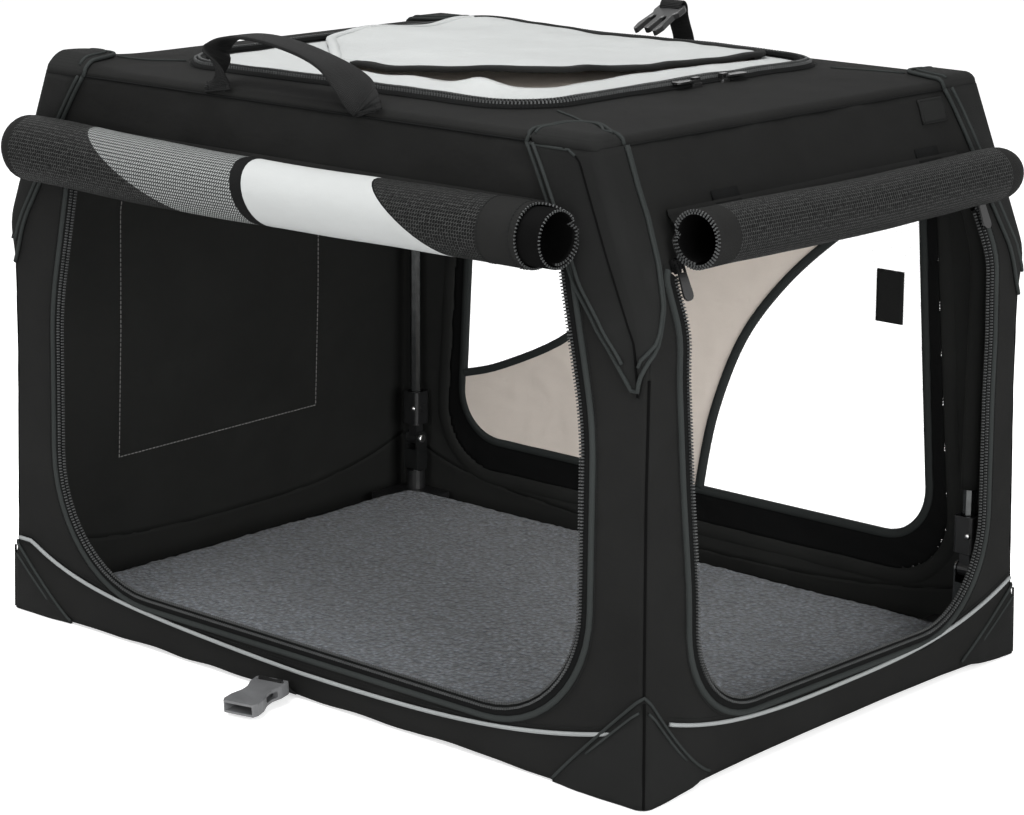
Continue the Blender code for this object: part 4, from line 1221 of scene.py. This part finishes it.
def flap_edges():
    """The flap's bound edge, dark where it is free and pale where it is sewn."""
    sewn = [point.x < -0.204 + 1.15 * max(0.0, -0.015 - point.y) for point in FLAP_RIM]
    start = next(i for i in range(len(sewn)) if sewn[i - 1] and not sewn[i])
    free_rows, sewn_rows = [], []
    for index in [(start + step) % len(sewn) for step in range(len(sewn))]:
        point, way = FLAP_RIM[index], side_way(FLAP_RIM, index, True)
        sway = 0.0003 * math.sin(index * 0.7)
        height = flap_height(point.x - way.x * 0.002, point.y - way.y * 0.002)
        row = [on_roof(point.x + way.x * (w + sway), point.y + way.y * (w + sway), h + height)
               for w, h in FLAP_EDGING]
        (sewn_rows if sewn[index] else free_rows).append(row)
    ride_roof(strip("hatch_flap_binding", free_rows + sewn_rows[:1], PATCH))
    ride_roof(strip("hatch_flap_edge", sewn_rows + free_rows[:1], PALE))


def hatch_zip():
    """Tape, two rows of teeth and a row of stitches round the hatch."""
    rim, centre = dense(HATCH, 0.01), on_roof(HATCH_X, 0)
    ride_roof(band("hatch_zip_tape", on_roof, rim, HATCH_TAPE, TAPE))
    ways = [side_way(rim, index, True) for index in range(len(rim))]
    for word, inset, sign, out in (("inner", -0.0019, -1, 0.006), ("outer", 0.0017, 1, 0.0047)):
        path = [on_roof(p.x + way.x * inset, p.y + way.y * inset, out)
                for p, way in zip(rim, ways)]
        ride_roof(teeth(f"hatch_zip_{word}", path, lambda point: (centre - point) * sign,
                        ZIP_PLASTIC, gap=0.0031, size=(0.0014, 0.0023, 0.0022)))
    path = laid(on_roof, dense(grown(HATCH, 0.0075), 0.01), 0.0018)
    ride_roof(stitches("hatch_stitch", path + path[:1], UP, THREAD))


def build_roof():
    """Roof cloth, its zipped hatch (pale strip, loose flap, taupe lining painted as the pale
    cloth's shaded underside with light through it) and its edge cord.
    """
    across, up = (fine_ends(-half, half, ROOF_RIM, 0.014, 0.006) for half in ROOF_HALF)
    ride_roof(lined(grid("roof_cloth", across, up, roof_place, [BLACK, LINING_PAINTED_LIGHT],
                         lambda x, y: not inside(HATCH, x, y)), UP), "roof")
    pale_sheet("hatch_strip", steps(HATCH_X - 0.213, HATCH_X + 0.213, 0.0045),
               steps(-0.203, 0.203, 0.0045), strip_height, 0.001, "roof_hatch",
               keep=lambda x, y: inside(STRIP_FOOT, x, y) and not inside(STRIP_HOLE, x, y),
               snap=[STRIP_FOOT, STRIP_HOLE])
    pale_sheet("hatch_flap", steps(-0.208, 0.152, 0.0045), steps(-0.139, 0.199, 0.0045),
               flap_height, 0.0012, keep=lambda x, y: inside(FLAP, x, y), snap=[FLAP])
    # The taupe sheet below the hatch is painted shade and light: it stands for the pale cloth's
    # shaded underside, lit through from above.
    pale_sheet("hatch_lining", steps(-0.2, 0.18, 0.008), steps(-0.17, 0.2, 0.008),
               lambda x, y: -0.004 + 0.0012 * wrinkle(x, y, 9.0, 0.05), 0.001, finish=TAUPE_PAINTED_SHADE_AND_LIGHT)
    flap_edges()
    hatch_zip()
    cord = [Vector((p.x, p.y, SEAM_CORD_Z))
            for p in dense(rounded_box(0, *ROOF_HALF, CORNER_R, 6), 0.012)]
    ride_roof(rod("roof_seam_cord", cord, 0.001, TAPE, closed=True))


def roof_patch(corner):
    """The top corner patch's end, carried over the roof's edge, and the mitre seam."""
    sx, sy, _ = turned_out(*CORNERS[corner])
    word = CORNER_WORDS[corner]
    bound = smooth_line(FAR_ARCH if corner else NEAR_ARCH, 6)
    outline = bound + [Vector((-0.002, -0.002))]
    fine = [0.0, 0.001, 0.0022, 0.0036, 0.0052, 0.007] + steps(0.0095, 0.073, 0.0035)

    def over(u, v, out):
        return off_roof(sx * (ROOF_HALF[0] - u), sy * (ROOF_HALF[1] - v), out)

    piece = grid(f"roof_patch_{word}", fine, fine,
                 lambda u, v: over(u, v, 0.0012 + 0.0036 * ease(near(bound, u, v) / 0.012)),
                 [PATCH, LINING_PAINTED_LIGHT], lambda u, v: inside(outline, max(u, 0.0001), max(v, 0.0001)),
                 [bound[index:index + 2] for index in range(len(bound) - 1)])
    ride_roof(lined(piece, UP))
    for mark, inset, radius, lift in (("outer", 0.0, 0.0018, 0.0022),
                                      ("inner", 0.008, 0.0013, 0.004)):
        path = []
        for p in bound:
            way = Vector((p.x - 0.018, p.y - 0.012)).normalized() * inset
            path.append(over(max(0.0, p.x - way.x), max(0.0, p.y - way.y), lift))
        ride_roof(rod(f"roof_patch_{mark}_{word}", path, radius, BINDING))
    mitre = [on_roof(sx * (0.219 + 0.06 * t), sy * (0.185 + 0.028 * t), 0.0006)
             for t in steps(0, 1, 0.25)]
    ride_roof(rod(f"roof_mitre_{word}", mitre, 0.001, BINDING))


# Rolled doors

ROLL_STEPS = 32


def spiral(radius, tail, pitch, turns):
    """A rolled door's section, (towards the wall, up), from its sewn edge inwards."""
    line = list(tail)
    for step in range(int(turns * ROLL_STEPS) + 1):
        turn = -math.tau * step / ROLL_STEPS
        line.append(Vector((math.cos(turn), math.sin(turn))) * (radius - pitch * step / ROLL_STEPS))
    return line


def roll(name, line, tail_count, bounds, counts, place, finishes, thickness):
    """A rolled sheet in lengthwise regions, whose ends shift with the turn."""
    along, columns = along_path(line), sum(counts)
    points, uvs, faces = [], [], []
    for row, section in enumerate(line):
        edges = bounds((row - tail_count) / ROLL_STEPS)
        lengths = [edges[0]]
        for low, high, count in zip(edges, edges[1:], counts):
            lengths.extend(low + (high - low) * step / count for step in range(1, count + 1))
        points.extend(place(length, section) for length in lengths)
        uvs.extend((length, along[row]) for length in lengths)
    for row in range(len(line) - 1):
        for column in range(columns):
            low = row * (columns + 1) + column
            faces.append((low, low + 1, low + columns + 2, low + columns + 1))
    piece = new_object(name, points, faces, finishes, uvs)
    marks = [region for region, count in enumerate(counts) for _ in range(count)]
    for index, face in enumerate(piece.data.polygons):
        row, column = divmod(index, columns)
        face.material_index = marks[column] if row >= tail_count - 1 else 0
        # The inner turns take the last, very dark finish: painted shade inside the roll.
        if row > tail_count + 1.1 * ROLL_STEPS:
            face.material_index = len(finishes) - 1
    thicken(piece, thickness, 0.0)
    return piece


def roll_teeth(name, rim, way):
    """Zip teeth round the open end of a rolled door."""
    ride_roll(teeth(name, rim, lambda point: Vector(way), ZIP_PLASTIC, False, 0.0029,
                    (0.0012, 0.0017, 0.0018)))


def across_roll(turn, at_top, at_bottom):
    """Where a slanting seam crosses the roll at this turn: top at 0.75, bottom at 0.25."""
    share = 1.0 if turn < 0.25 else 0.0
    if 0.25 <= turn <= 0.75:
        share = (1 + math.sin(math.tau * turn)) / 2
    return at_top + (at_bottom - at_top) * share


def flat_share(section, low=0.003, rise=0.012):
    """How much of a roll's section is its tail, lying on the wall."""
    return ease((section.y - low) / rise) if section.x > 0.018 else 0.0


def domed(distance, size):
    """Size of a roll close to its closed end."""
    return math.sqrt(max(0.02, 1 - max(0.0, 1 - distance / size) ** 2.4))


def front_roll():
    """The long door, rolled: mesh, pale cloth and mesh again, open at its right end."""
    low, high, height, radius, out = -0.338, 0.308, 0.45, 0.0272, 0.0282
    wall_y = -half_y(height)
    tail = [Vector(place) for place in ((out - 0.0014, 0.021), (out - 0.0014, 0.015),
                                        (out - 0.0024, 0.0085), (0.0268, 0.0035))]
    line = spiral(radius, tail, 0.0032, 2.3)

    def at(x, section):
        fat = 1 + 0.12 * ease((0.10 - x) / 0.40)
        fat += 0.020 * wrinkle(x, section.x, section.y, 0.05, 1.7)
        fat *= domed(x - low, 0.030)
        flat = flat_share(section, 0.004)
        share = fat * (1 - flat) + flat
        sag = -0.0030 * math.cos(math.pi * (x + 0.02) / 0.66) ** 2
        y = wall_y - out + section.x * share - 0.020 * (fat - 1) * (1 - flat) * (fat > 1)
        if flat > 0.99:
            y = -half_y(height + section.y) - 0.0014
        held = max(-0.280, min(0.280, x))
        lift = 0.0020 * ease((-x - 0.15) / 0.15)
        return Vector((x + (held - x) * flat, y,
                       height + section.y * share + (sag + lift) * (1 - flat)))

    def bounds(turn):
        pale = across_roll(turn, -0.036, -0.014)
        seam = across_roll(turn, 0.117, 0.207)
        end = high - 0.022 * (1 - ease((turn - 0.72) / 0.25))
        return [low, low + 0.030, across_roll(turn, -0.226, -0.100), pale, pale + 0.014,
                seam, seam + 0.002, end - 0.040, end]

    piece = roll("front_roll_cloth", line, len(tail), bounds, (12, 24, 34, 4, 44, 1, 30, 12), at,
                 [BLACK, ROLLED_MESH, PALE_MESH, TAPE, PALE, TAPE, ROLLED_MESH, BLACK, SEAM_AND_PAINTED_SHADE], 0.002)
    ride_roll(piece, "front_door_roll", slot="black_mesh")
    rim = [at(bounds((row - len(tail)) / ROLL_STEPS)[-1] + 0.0003, section)
           for row, section in enumerate(line)]
    roll_teeth("front_roll_zip", rim[len(tail) + 2:], (1, 0, 0))
    middle = Vector((0.26, wall_y - out, height))
    for x in (0.2475, 0.28):
        outer = [at(x, section * 1.045) for section in line[len(tail):len(tail) + ROLL_STEPS]]
        ride_roll(stitches(f"front_roll_stitch_{round(x * 1000)}", outer,
                           lambda p: Vector((0, p.y - middle.y, p.z - middle.z)), THREAD))


def right_roll():
    """The short door, rolled: black mesh, open at its near end."""
    low, high, height, radius, out = -0.213, 0.23, 0.4375, 0.0236, 0.0328
    outward = Vector((math.cos(SLANT), 0, math.sin(SLANT)))
    uphill = Vector((-math.sin(SLANT), 0, math.cos(SLANT)))
    tail = [Vector(place) for place in (
        (out - 0.0016, 0.029), (out - 0.0016, 0.024), (out - 0.003, 0.0205), (out - 0.006, 0.017),
        (0.025, 0.011), (0.0238, 0.005))]
    line = spiral(radius, tail, 0.002, 2.2)
    base = Vector((profile_x(height), 0, height)) + outward * out

    def at(y, section):
        flat = flat_share(section)
        loose = 1 + 0.020 * wrinkle(y, section.x, section.y, 0.05, 4.2)
        loose *= domed(high - y, 0.034)
        share = loose * (1 - flat) + flat
        sag = Vector((0, 0, -0.0022 * math.cos(math.pi * y / 0.45) ** 2)) * (1 - flat)
        held = max(-0.200, min(0.200, y))
        return (base + Vector((0, y + (held - y) * flat, 0)) - outward * section.x * share
                + uphill * section.y * share + sag)

    piece = roll("right_roll_cloth", line, len(tail),
                 lambda turn: (low, low + 0.027, high - 0.036, high), (8, 90, 14), at,
                 [BLACK, ROLLED_MESH, BLACK, SEAM_AND_PAINTED_SHADE], 0.0014)
    ride_roll(piece, "right_door_roll", slot="black_mesh")
    roll_teeth("right_roll_zip", [at(low - 0.0003, section) for section in line[len(tail) + 2:]],
               (0, -1, 0))


def roll_loops():
    """Short straps sewn to the right side, that hold its rolled door."""
    for word, y in (("front", -0.124), ("rear", 0.158)):
        rows = [[on_wall("right", y + w, z, out) for w in (-0.016, -0.005, 0.006, 0.017)]
                for z, out in ((0.472, 0.001), (0.466, 0.0015), (0.461, 0.0024), (0.457, 0.005))]
        loop = strip(f"roll_loop_{word}", rows, TAPE)
        face_outward(loop, (1, 0, 0.4))
        thicken(loop, 0.0016)
        ride_base(loop)


# Mat

MAT_RIM = (0.0, 0.0006, 0.0022, 0.005, 0.009, 0.014)


def build_mat():
    """Fleece mat: crowned, drawn in between its corners, tufted all over."""
    half, low, high = (0.3435, 0.2325), 0.0042, 0.0292
    middle = low + 0.011

    def lay(s, t, top):
        x, y = s * half[0], t * half[1]
        corner = max(0.0, (abs(s * t) - 0.80) / 0.20)
        pull = (1 - 0.018 * corner - 0.006 * (1 - s * s) * abs(t) ** 9
                - 0.006 * (1 - t * t) * abs(s) ** 9)
        edge = min(half[0] * (1 - abs(s)), half[1] * (1 - abs(t)))
        rolled = math.sqrt(max(0.0, 1 - (1 - min(1.0, edge / 0.016)) ** 2))
        if not top:
            return Vector((x * pull, y * pull, middle - (middle - low) * rolled))
        soft = 0.0012 * wrinkle(x, y, 0.0, 0.07, 8.0)
        tuft = 0.0010 * wrinkle(x, y, 0.5, 0.0065, 2.2) + 0.0007 * wrinkle(x, y, 0.9, 0.0032, 6.1)
        return Vector((x * pull, y * pull,
                       middle + (high - middle - 0.0022) * rolled + soft * rolled + tuft))

    for name, size, top in (("fleece_top", 0.003, True), ("fleece_under", 0.02, False)):
        across, up = ([value / reach for value in fine_ends(-reach, reach, MAT_RIM, 0.018, size)]
                      for reach in half)
        piece = grid(name, across, up, lambda s, t: lay(s, t, top), FLEECE)
        face_outward(piece, UP if top else -UP)
        carry(piece, "mat", "grey_fleece", ("fleece_mat",) if top else ())


# Pocket, handle and straps

def pocket_at(y, z, out):
    """A point on the left side, in world y."""
    return on_wall("left", -y, z, out)


def build_pocket():
    """Flat pocket outside the left side; its stitching shows inside as well."""
    half, low, high = 0.125, 0.125, 0.318

    def lay(y, z):
        edge = min(half - abs(y), z - low, high - z)
        return pocket_at(y, z, 0.0010 + 0.0036 * ease(edge / 0.012)
                         + 0.0006 * wrinkle(y, z, 2.0, 0.05))

    pocket = grid("pocket_cloth", steps(-half, half, 0.007), steps(low, high, 0.007), lay,
                  [BLACK, LINING_PAINTED_LIGHT])
    ride_base(lined(pocket, (-1, 0, 0)), "outside_pocket")
    ride_base(band("pocket_binding", partial(on_wall, "left"),
                   [Vector((y, high)) for y in steps(-half, half, 0.01)],
                   ((-0.004, 0.0048), (-0.003, 0.0062), (0.003, 0.0062), (0.004, 0.003)),
                   BINDING, False))
    inner = dense([(-0.131, 0.4), (-0.139, 0.1235), (0.128, 0.127), (0.133, 0.4)], 0.012, False)
    ride_base(stitches("pocket_stitch_inside", laid(pocket_at, inner, -CLOTH - 0.001), (1, 0, 0),
                       PALE_THREAD, 0.0046, 0.0034, 0.0009))
    outer = dense([(-half, 0.316), (-half, low), (half, low), (half, 0.316)], 0.012, False)
    ride_base(stitches("pocket_stitch_outside", laid(pocket_at, outer, 0.0024), (-1, 0, 0),
                       THREAD))


def sewn_strap(name, line, size, across, bodies, bend, replaced):
    """A webbing strap along a line, standing in for a frame piece that is hidden."""
    strap = ribbon(name, line, *size, WEBBING, across)
    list(bodies)
    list(bend)
    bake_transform(strap)
    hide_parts(replaced)


def handle_turn(share):
    """Direction of the handle's width: along the edge at its feet, across it at the top."""
    turn = math.pi / 2 * (ease((share - 0.06) / 0.24) + ease((share - 0.62) / 0.26))
    return (-math.cos(turn), math.sin(turn), 0)


def build_handle():
    """Carrying handle of webbing, sewn flat to the front edge and twisted over its arch."""
    line = smooth_line([
        (-0.0985, -0.2584, 0.5195), (-0.0995, -0.258, 0.525), (-0.1015, -0.2565, 0.533),
        (-0.107, -0.2515, 0.5435), (-0.1105, -0.247, 0.5535), (-0.1015, -0.244, 0.5622),
        (-0.08, -0.243, 0.5665), (-0.048, -0.243, 0.5662), (-0.008, -0.244, 0.5607),
        (0.028, -0.247, 0.552), (0.052, -0.2515, 0.5415), (0.07, -0.2565, 0.5305),
        (0.0775, -0.258, 0.525), (0.08, -0.2584, 0.519)], 7)
    sewn_strap("handle_strap", line, (0.0315, 0.0026), handle_turn, ("roof", "handle"),
               ((0, -0.243, 0.526), (0, -0.243, 0.544)), "carry_handle")
    for word, middle in (("left", -0.0988), ("right", 0.0785)):
        x0, x1, z0, z1 = middle - 0.011, middle + 0.011, 0.5205, 0.527
        seam = [Vector((x, -0.26, z)) for x, z in
                ((x0, z0), (x1, z0), (x1, z1), (x0, z1), (x0, z0), (x1, z1))]
        ride_roof(stitches(f"handle_stitch_{word}", seam, (0, -1, 0), THREAD))


def build_straps():
    """Webbing of the closing strap, front and rear."""
    front = [(-0.018, -0.264, 0.003), (-0.018, -0.27, 0.0076), (-0.018, -0.2745, 0.0128),
             (-0.017, -0.2795, 0.015), (-0.016, -0.2845, 0.0192), (-0.015, -0.2868, 0.016)]
    rear = [(-0.006, y, z) for y, z in (
        (0.2605, 0.5), (0.26, 0.515), (0.2585, 0.528), (0.253, 0.541), (0.249, 0.551),
        (0.2475, 0.56), (0.243, 0.5645), (0.2385, 0.5625), (0.2375, 0.557), (0.2405, 0.5525))]
    for name, line, count, bodies, bend, replaced in (
            ("front_strap_cloth", front, 5, ("base", "front_buckle"),
             ((0, -0.264, 0.01), (0, -0.275, 0.01)), "strap_stub"),
            ("rear_strap_cloth", rear, 4, ("roof", "rear_buckle"),
             ((0, 0.262, 0.512), (0, 0.262, 0.53)), "rear_strap")):
        sewn_strap(name, smooth_line(line, count), (0.0254, 0.0017), lambda share: (1, 0, 0),
                   bodies, bend, replaced)


# Legs, floor and side

def leg_channels():
    """Cloth channels that hold the right side's lining on the hoops' legs."""
    for end, (leg, y) in HOOP_LEGS.items():
        line = smooth_line([(leg, y, 0.152 if end == "rear" else 0.215), (leg, y, 0.25),
                            (leg, y, 0.352), (leg - 0.007, y, 0.39), (leg - 0.02, y, 0.425)], 6)
        carry(rod(f"leg_channel_{end}", line, 0.0088, LINING_PAINTED_LIGHT, 12), f"{end}_hoop", "black_cloth")


def sleeve_rivets():
    """A domed rivet on the inner face of each lock sleeve."""
    dome = ((0.003, -0.0004), (0.0029, 0.0006), (0.0021, 0.0014), (0.0004, 0.0018))
    for (end, (leg, y)), z, way in zip(HOOP_LEGS.items(), (0.1696, 0.1096), (1, -1)):
        face = y + way * 0.0102
        for hand, sign in (("left", -1), ("right", 1)):
            x = sign * leg + 0.0055
            rows = [[Vector((x + r * math.cos(t), face + way * out, z + r * math.sin(t)))
                     for t in circle(16)] for r, out in dome]
            carry(strip(f"sleeve_rivet_{end}_{hand}", rows, RIVET_STEEL, section_closed=True,
                        caps=True), f"sleeve_{end}_{hand}", "rivet_steel")


def floor_rim():
    """The floor cloth's rim, between the base board and the sides, turned up under the lifted right
    and front hems, where its dark cloth stands in for the hems' shadow as painted shade.
    """
    def lay(x, y):
        right, front = max(0.0, x - 0.3700) / 0.0125, max(0.0, -y - 0.2520) / 0.0125
        # Turned up under the lifted hems: dark cloth standing in for the hem's shadow.
        turned_up = 0.0078 * right ** 2 + 0.0050 * front ** 2 * (1 - min(1.0, right) ** 2)
        return Vector((x, y, 0.0036 + turned_up + 0.0002 * wrinkle(x, y, 0, 0.04)))

    piece = grid("floor_rim", steps(-0.3825, 0.3825, 0.004), steps(-0.2645, 0.2645, 0.006), lay,
                 LINING_PAINTED_LIGHT, lambda x, y: abs(x) > 0.35 or abs(y) > 0.24)
    face_outward(piece, UP)
    ride_base(piece)


def side_mark():
    """Bare black patch high on the right side, with a sewn edge."""
    y0, y1, z0, z1, inset = 0.164, 0.201, 0.49, 0.5105, 0.0015
    tab = grid("side_patch", steps(y0, y1, 0.003), steps(z0, z1, 0.003),
               lambda y, z: on_wall("right", y, z, 0.0024 + belly("right", y, z)), [PATCH, LINING_PAINTED_LIGHT])
    ride_base(lined(tab, (1, 0, 0)))
    y0, y1, z0, z1 = y0 + inset, y1 - inset, z0 + inset, z1 - inset
    seam = [on_wall("right", y, z, 0.0028)
            for y, z in ((y0, z0), (y1, z0), (y1, z1), (y0, z1), (y0, z0))]
    ride_base(stitches("side_patch_stitch", seam, (1, 0, 0.4), THREAD, 0.0022, 0.0015))


def repaint():
    """Finishes of the frame's own pieces."""
    looks = {"dark_steel": TUBE_STEEL, "frame_plastic": FRAME_PLASTIC, "rivet_steel": RIVET_STEEL,
             "buckle_plastic": BUCKLE, "zip_metal": ZIP_METAL, "black_cloth": LINING_PAINTED_LIGHT}
    slots = {entry["node"]: entry["material_slot"] for entry in frame["record"]["subparts"]}
    for name, piece in frame["nodes"].items():
        finish = DARK_BUCKLE if name == "buckle_plug" else looks.get(slots.get(name))
        if finish:
            for holder in piece.material_slots:
                holder.material = finish


# Stage

def lamp(name, place, aim_z, power):
    """A soft square lamp, aimed at a height over the middle."""
    data = bpy.data.lights.new(name, "AREA")
    data.shape, data.size, data.energy = "SQUARE", 1.8, power
    made = add_object(name, data)
    made.location = place
    way = Vector((0, 0, aim_z)) - Vector(place)
    made.rotation_euler = way.to_track_quat("-Z", "Y").to_euler()


def light_path(tree, *kinds):
    """Values that are 1 on rays of these kinds."""
    outputs = tree.nodes.new("ShaderNodeLightPath").outputs
    return [Value(tree, outputs[f"Is {kind} Ray"]) for kind in kinds]


def build_stage():
    """White studio: a world that is bright where it is seen and dim where it lights, lamps
    and a pale floor that keeps the shadow."""
    world = bpy.data.worlds.new("studio")
    bpy.context.scene.world = world
    world.use_nodes = True
    back = world.node_tree.nodes["Background"].inputs
    back["Color"].default_value = (1, 1, 1, 1)
    camera, glossy, through = light_path(world.node_tree, "Camera", "Glossy", "Transmission")
    seen = maths("MAXIMUM", camera, maths("MAXIMUM", glossy, through))
    dim, bright = 0.5, 1.0
    (seen * (bright - dim) + dim).feed(back["Strength"])
    lamp("top", (-0.3, -0.6, 2.6), 0.3, 73)
    lamp("front", (0.3, -3.0, 1.1), 0.25, 34)
    lamp("right", (3.0, -1.0, 1.0), 0.25, 92)
    made, tree, inputs = shader("pale_floor", (0.86, 0.86, 0.86), 0.9, Specular_IOR_Level=0.1)
    bump(inputs, (noise_of(tree, object_place(tree), 60.0), 0.0001))
    inputs["Emission Color"].default_value = (1, 1, 1, 1)
    (light_path(tree, "Camera")[0] * 0.55).feed(inputs["Emission Strength"])
    corners = [(-12, -12, -0.0005), (12, -12, -0.0005), (12, 12, -0.0005), (-12, 12, -0.0005)]
    new_object("floor", corners, [(0, 1, 2, 3)], made)


def build_camera():
    """The photograph's viewpoint."""
    azimuth, elevation, roll_angle = (math.radians(value) for value in (41.64, 14.07, 0.39))
    back = Vector((math.sin(azimuth) * math.cos(elevation),
                   -math.cos(azimuth) * math.cos(elevation), math.sin(elevation)))
    level = Vector((math.cos(azimuth), math.sin(azimuth), 0))
    rise = back.cross(level)
    right = level * math.cos(roll_angle) + rise * math.sin(roll_angle)
    up = rise * math.cos(roll_angle) - level * math.sin(roll_angle)
    data = bpy.data.cameras.new("photo_view")
    data.sensor_width, data.sensor_fit = 36.0, "HORIZONTAL"
    focal_pixels, photo_width = 2979.0, 1024.0
    data.lens = focal_pixels / photo_width * data.sensor_width
    data.clip_start = 0.05
    camera = add_object("photo_view", data)
    turn = Matrix((right, up, back)).transposed().to_4x4()
    camera.matrix_world = Matrix.Translation((1.7618, -1.9725, 0.8754)) @ turn
    bpy.context.scene.camera = camera
    bpy.context.scene.view_settings.view_transform = "Standard"


build_walls()
rear_door()
build_roof()
for number in range(4):
    roof_patch(number)
front_roll()
right_roll()
roll_loops()
build_mat()
build_pocket()
build_handle()
build_straps()
leg_channels()
sleeve_rivets()
floor_rim()
side_mark()
repaint()
build_stage()
build_camera()
bpy.context.view_layer.update()
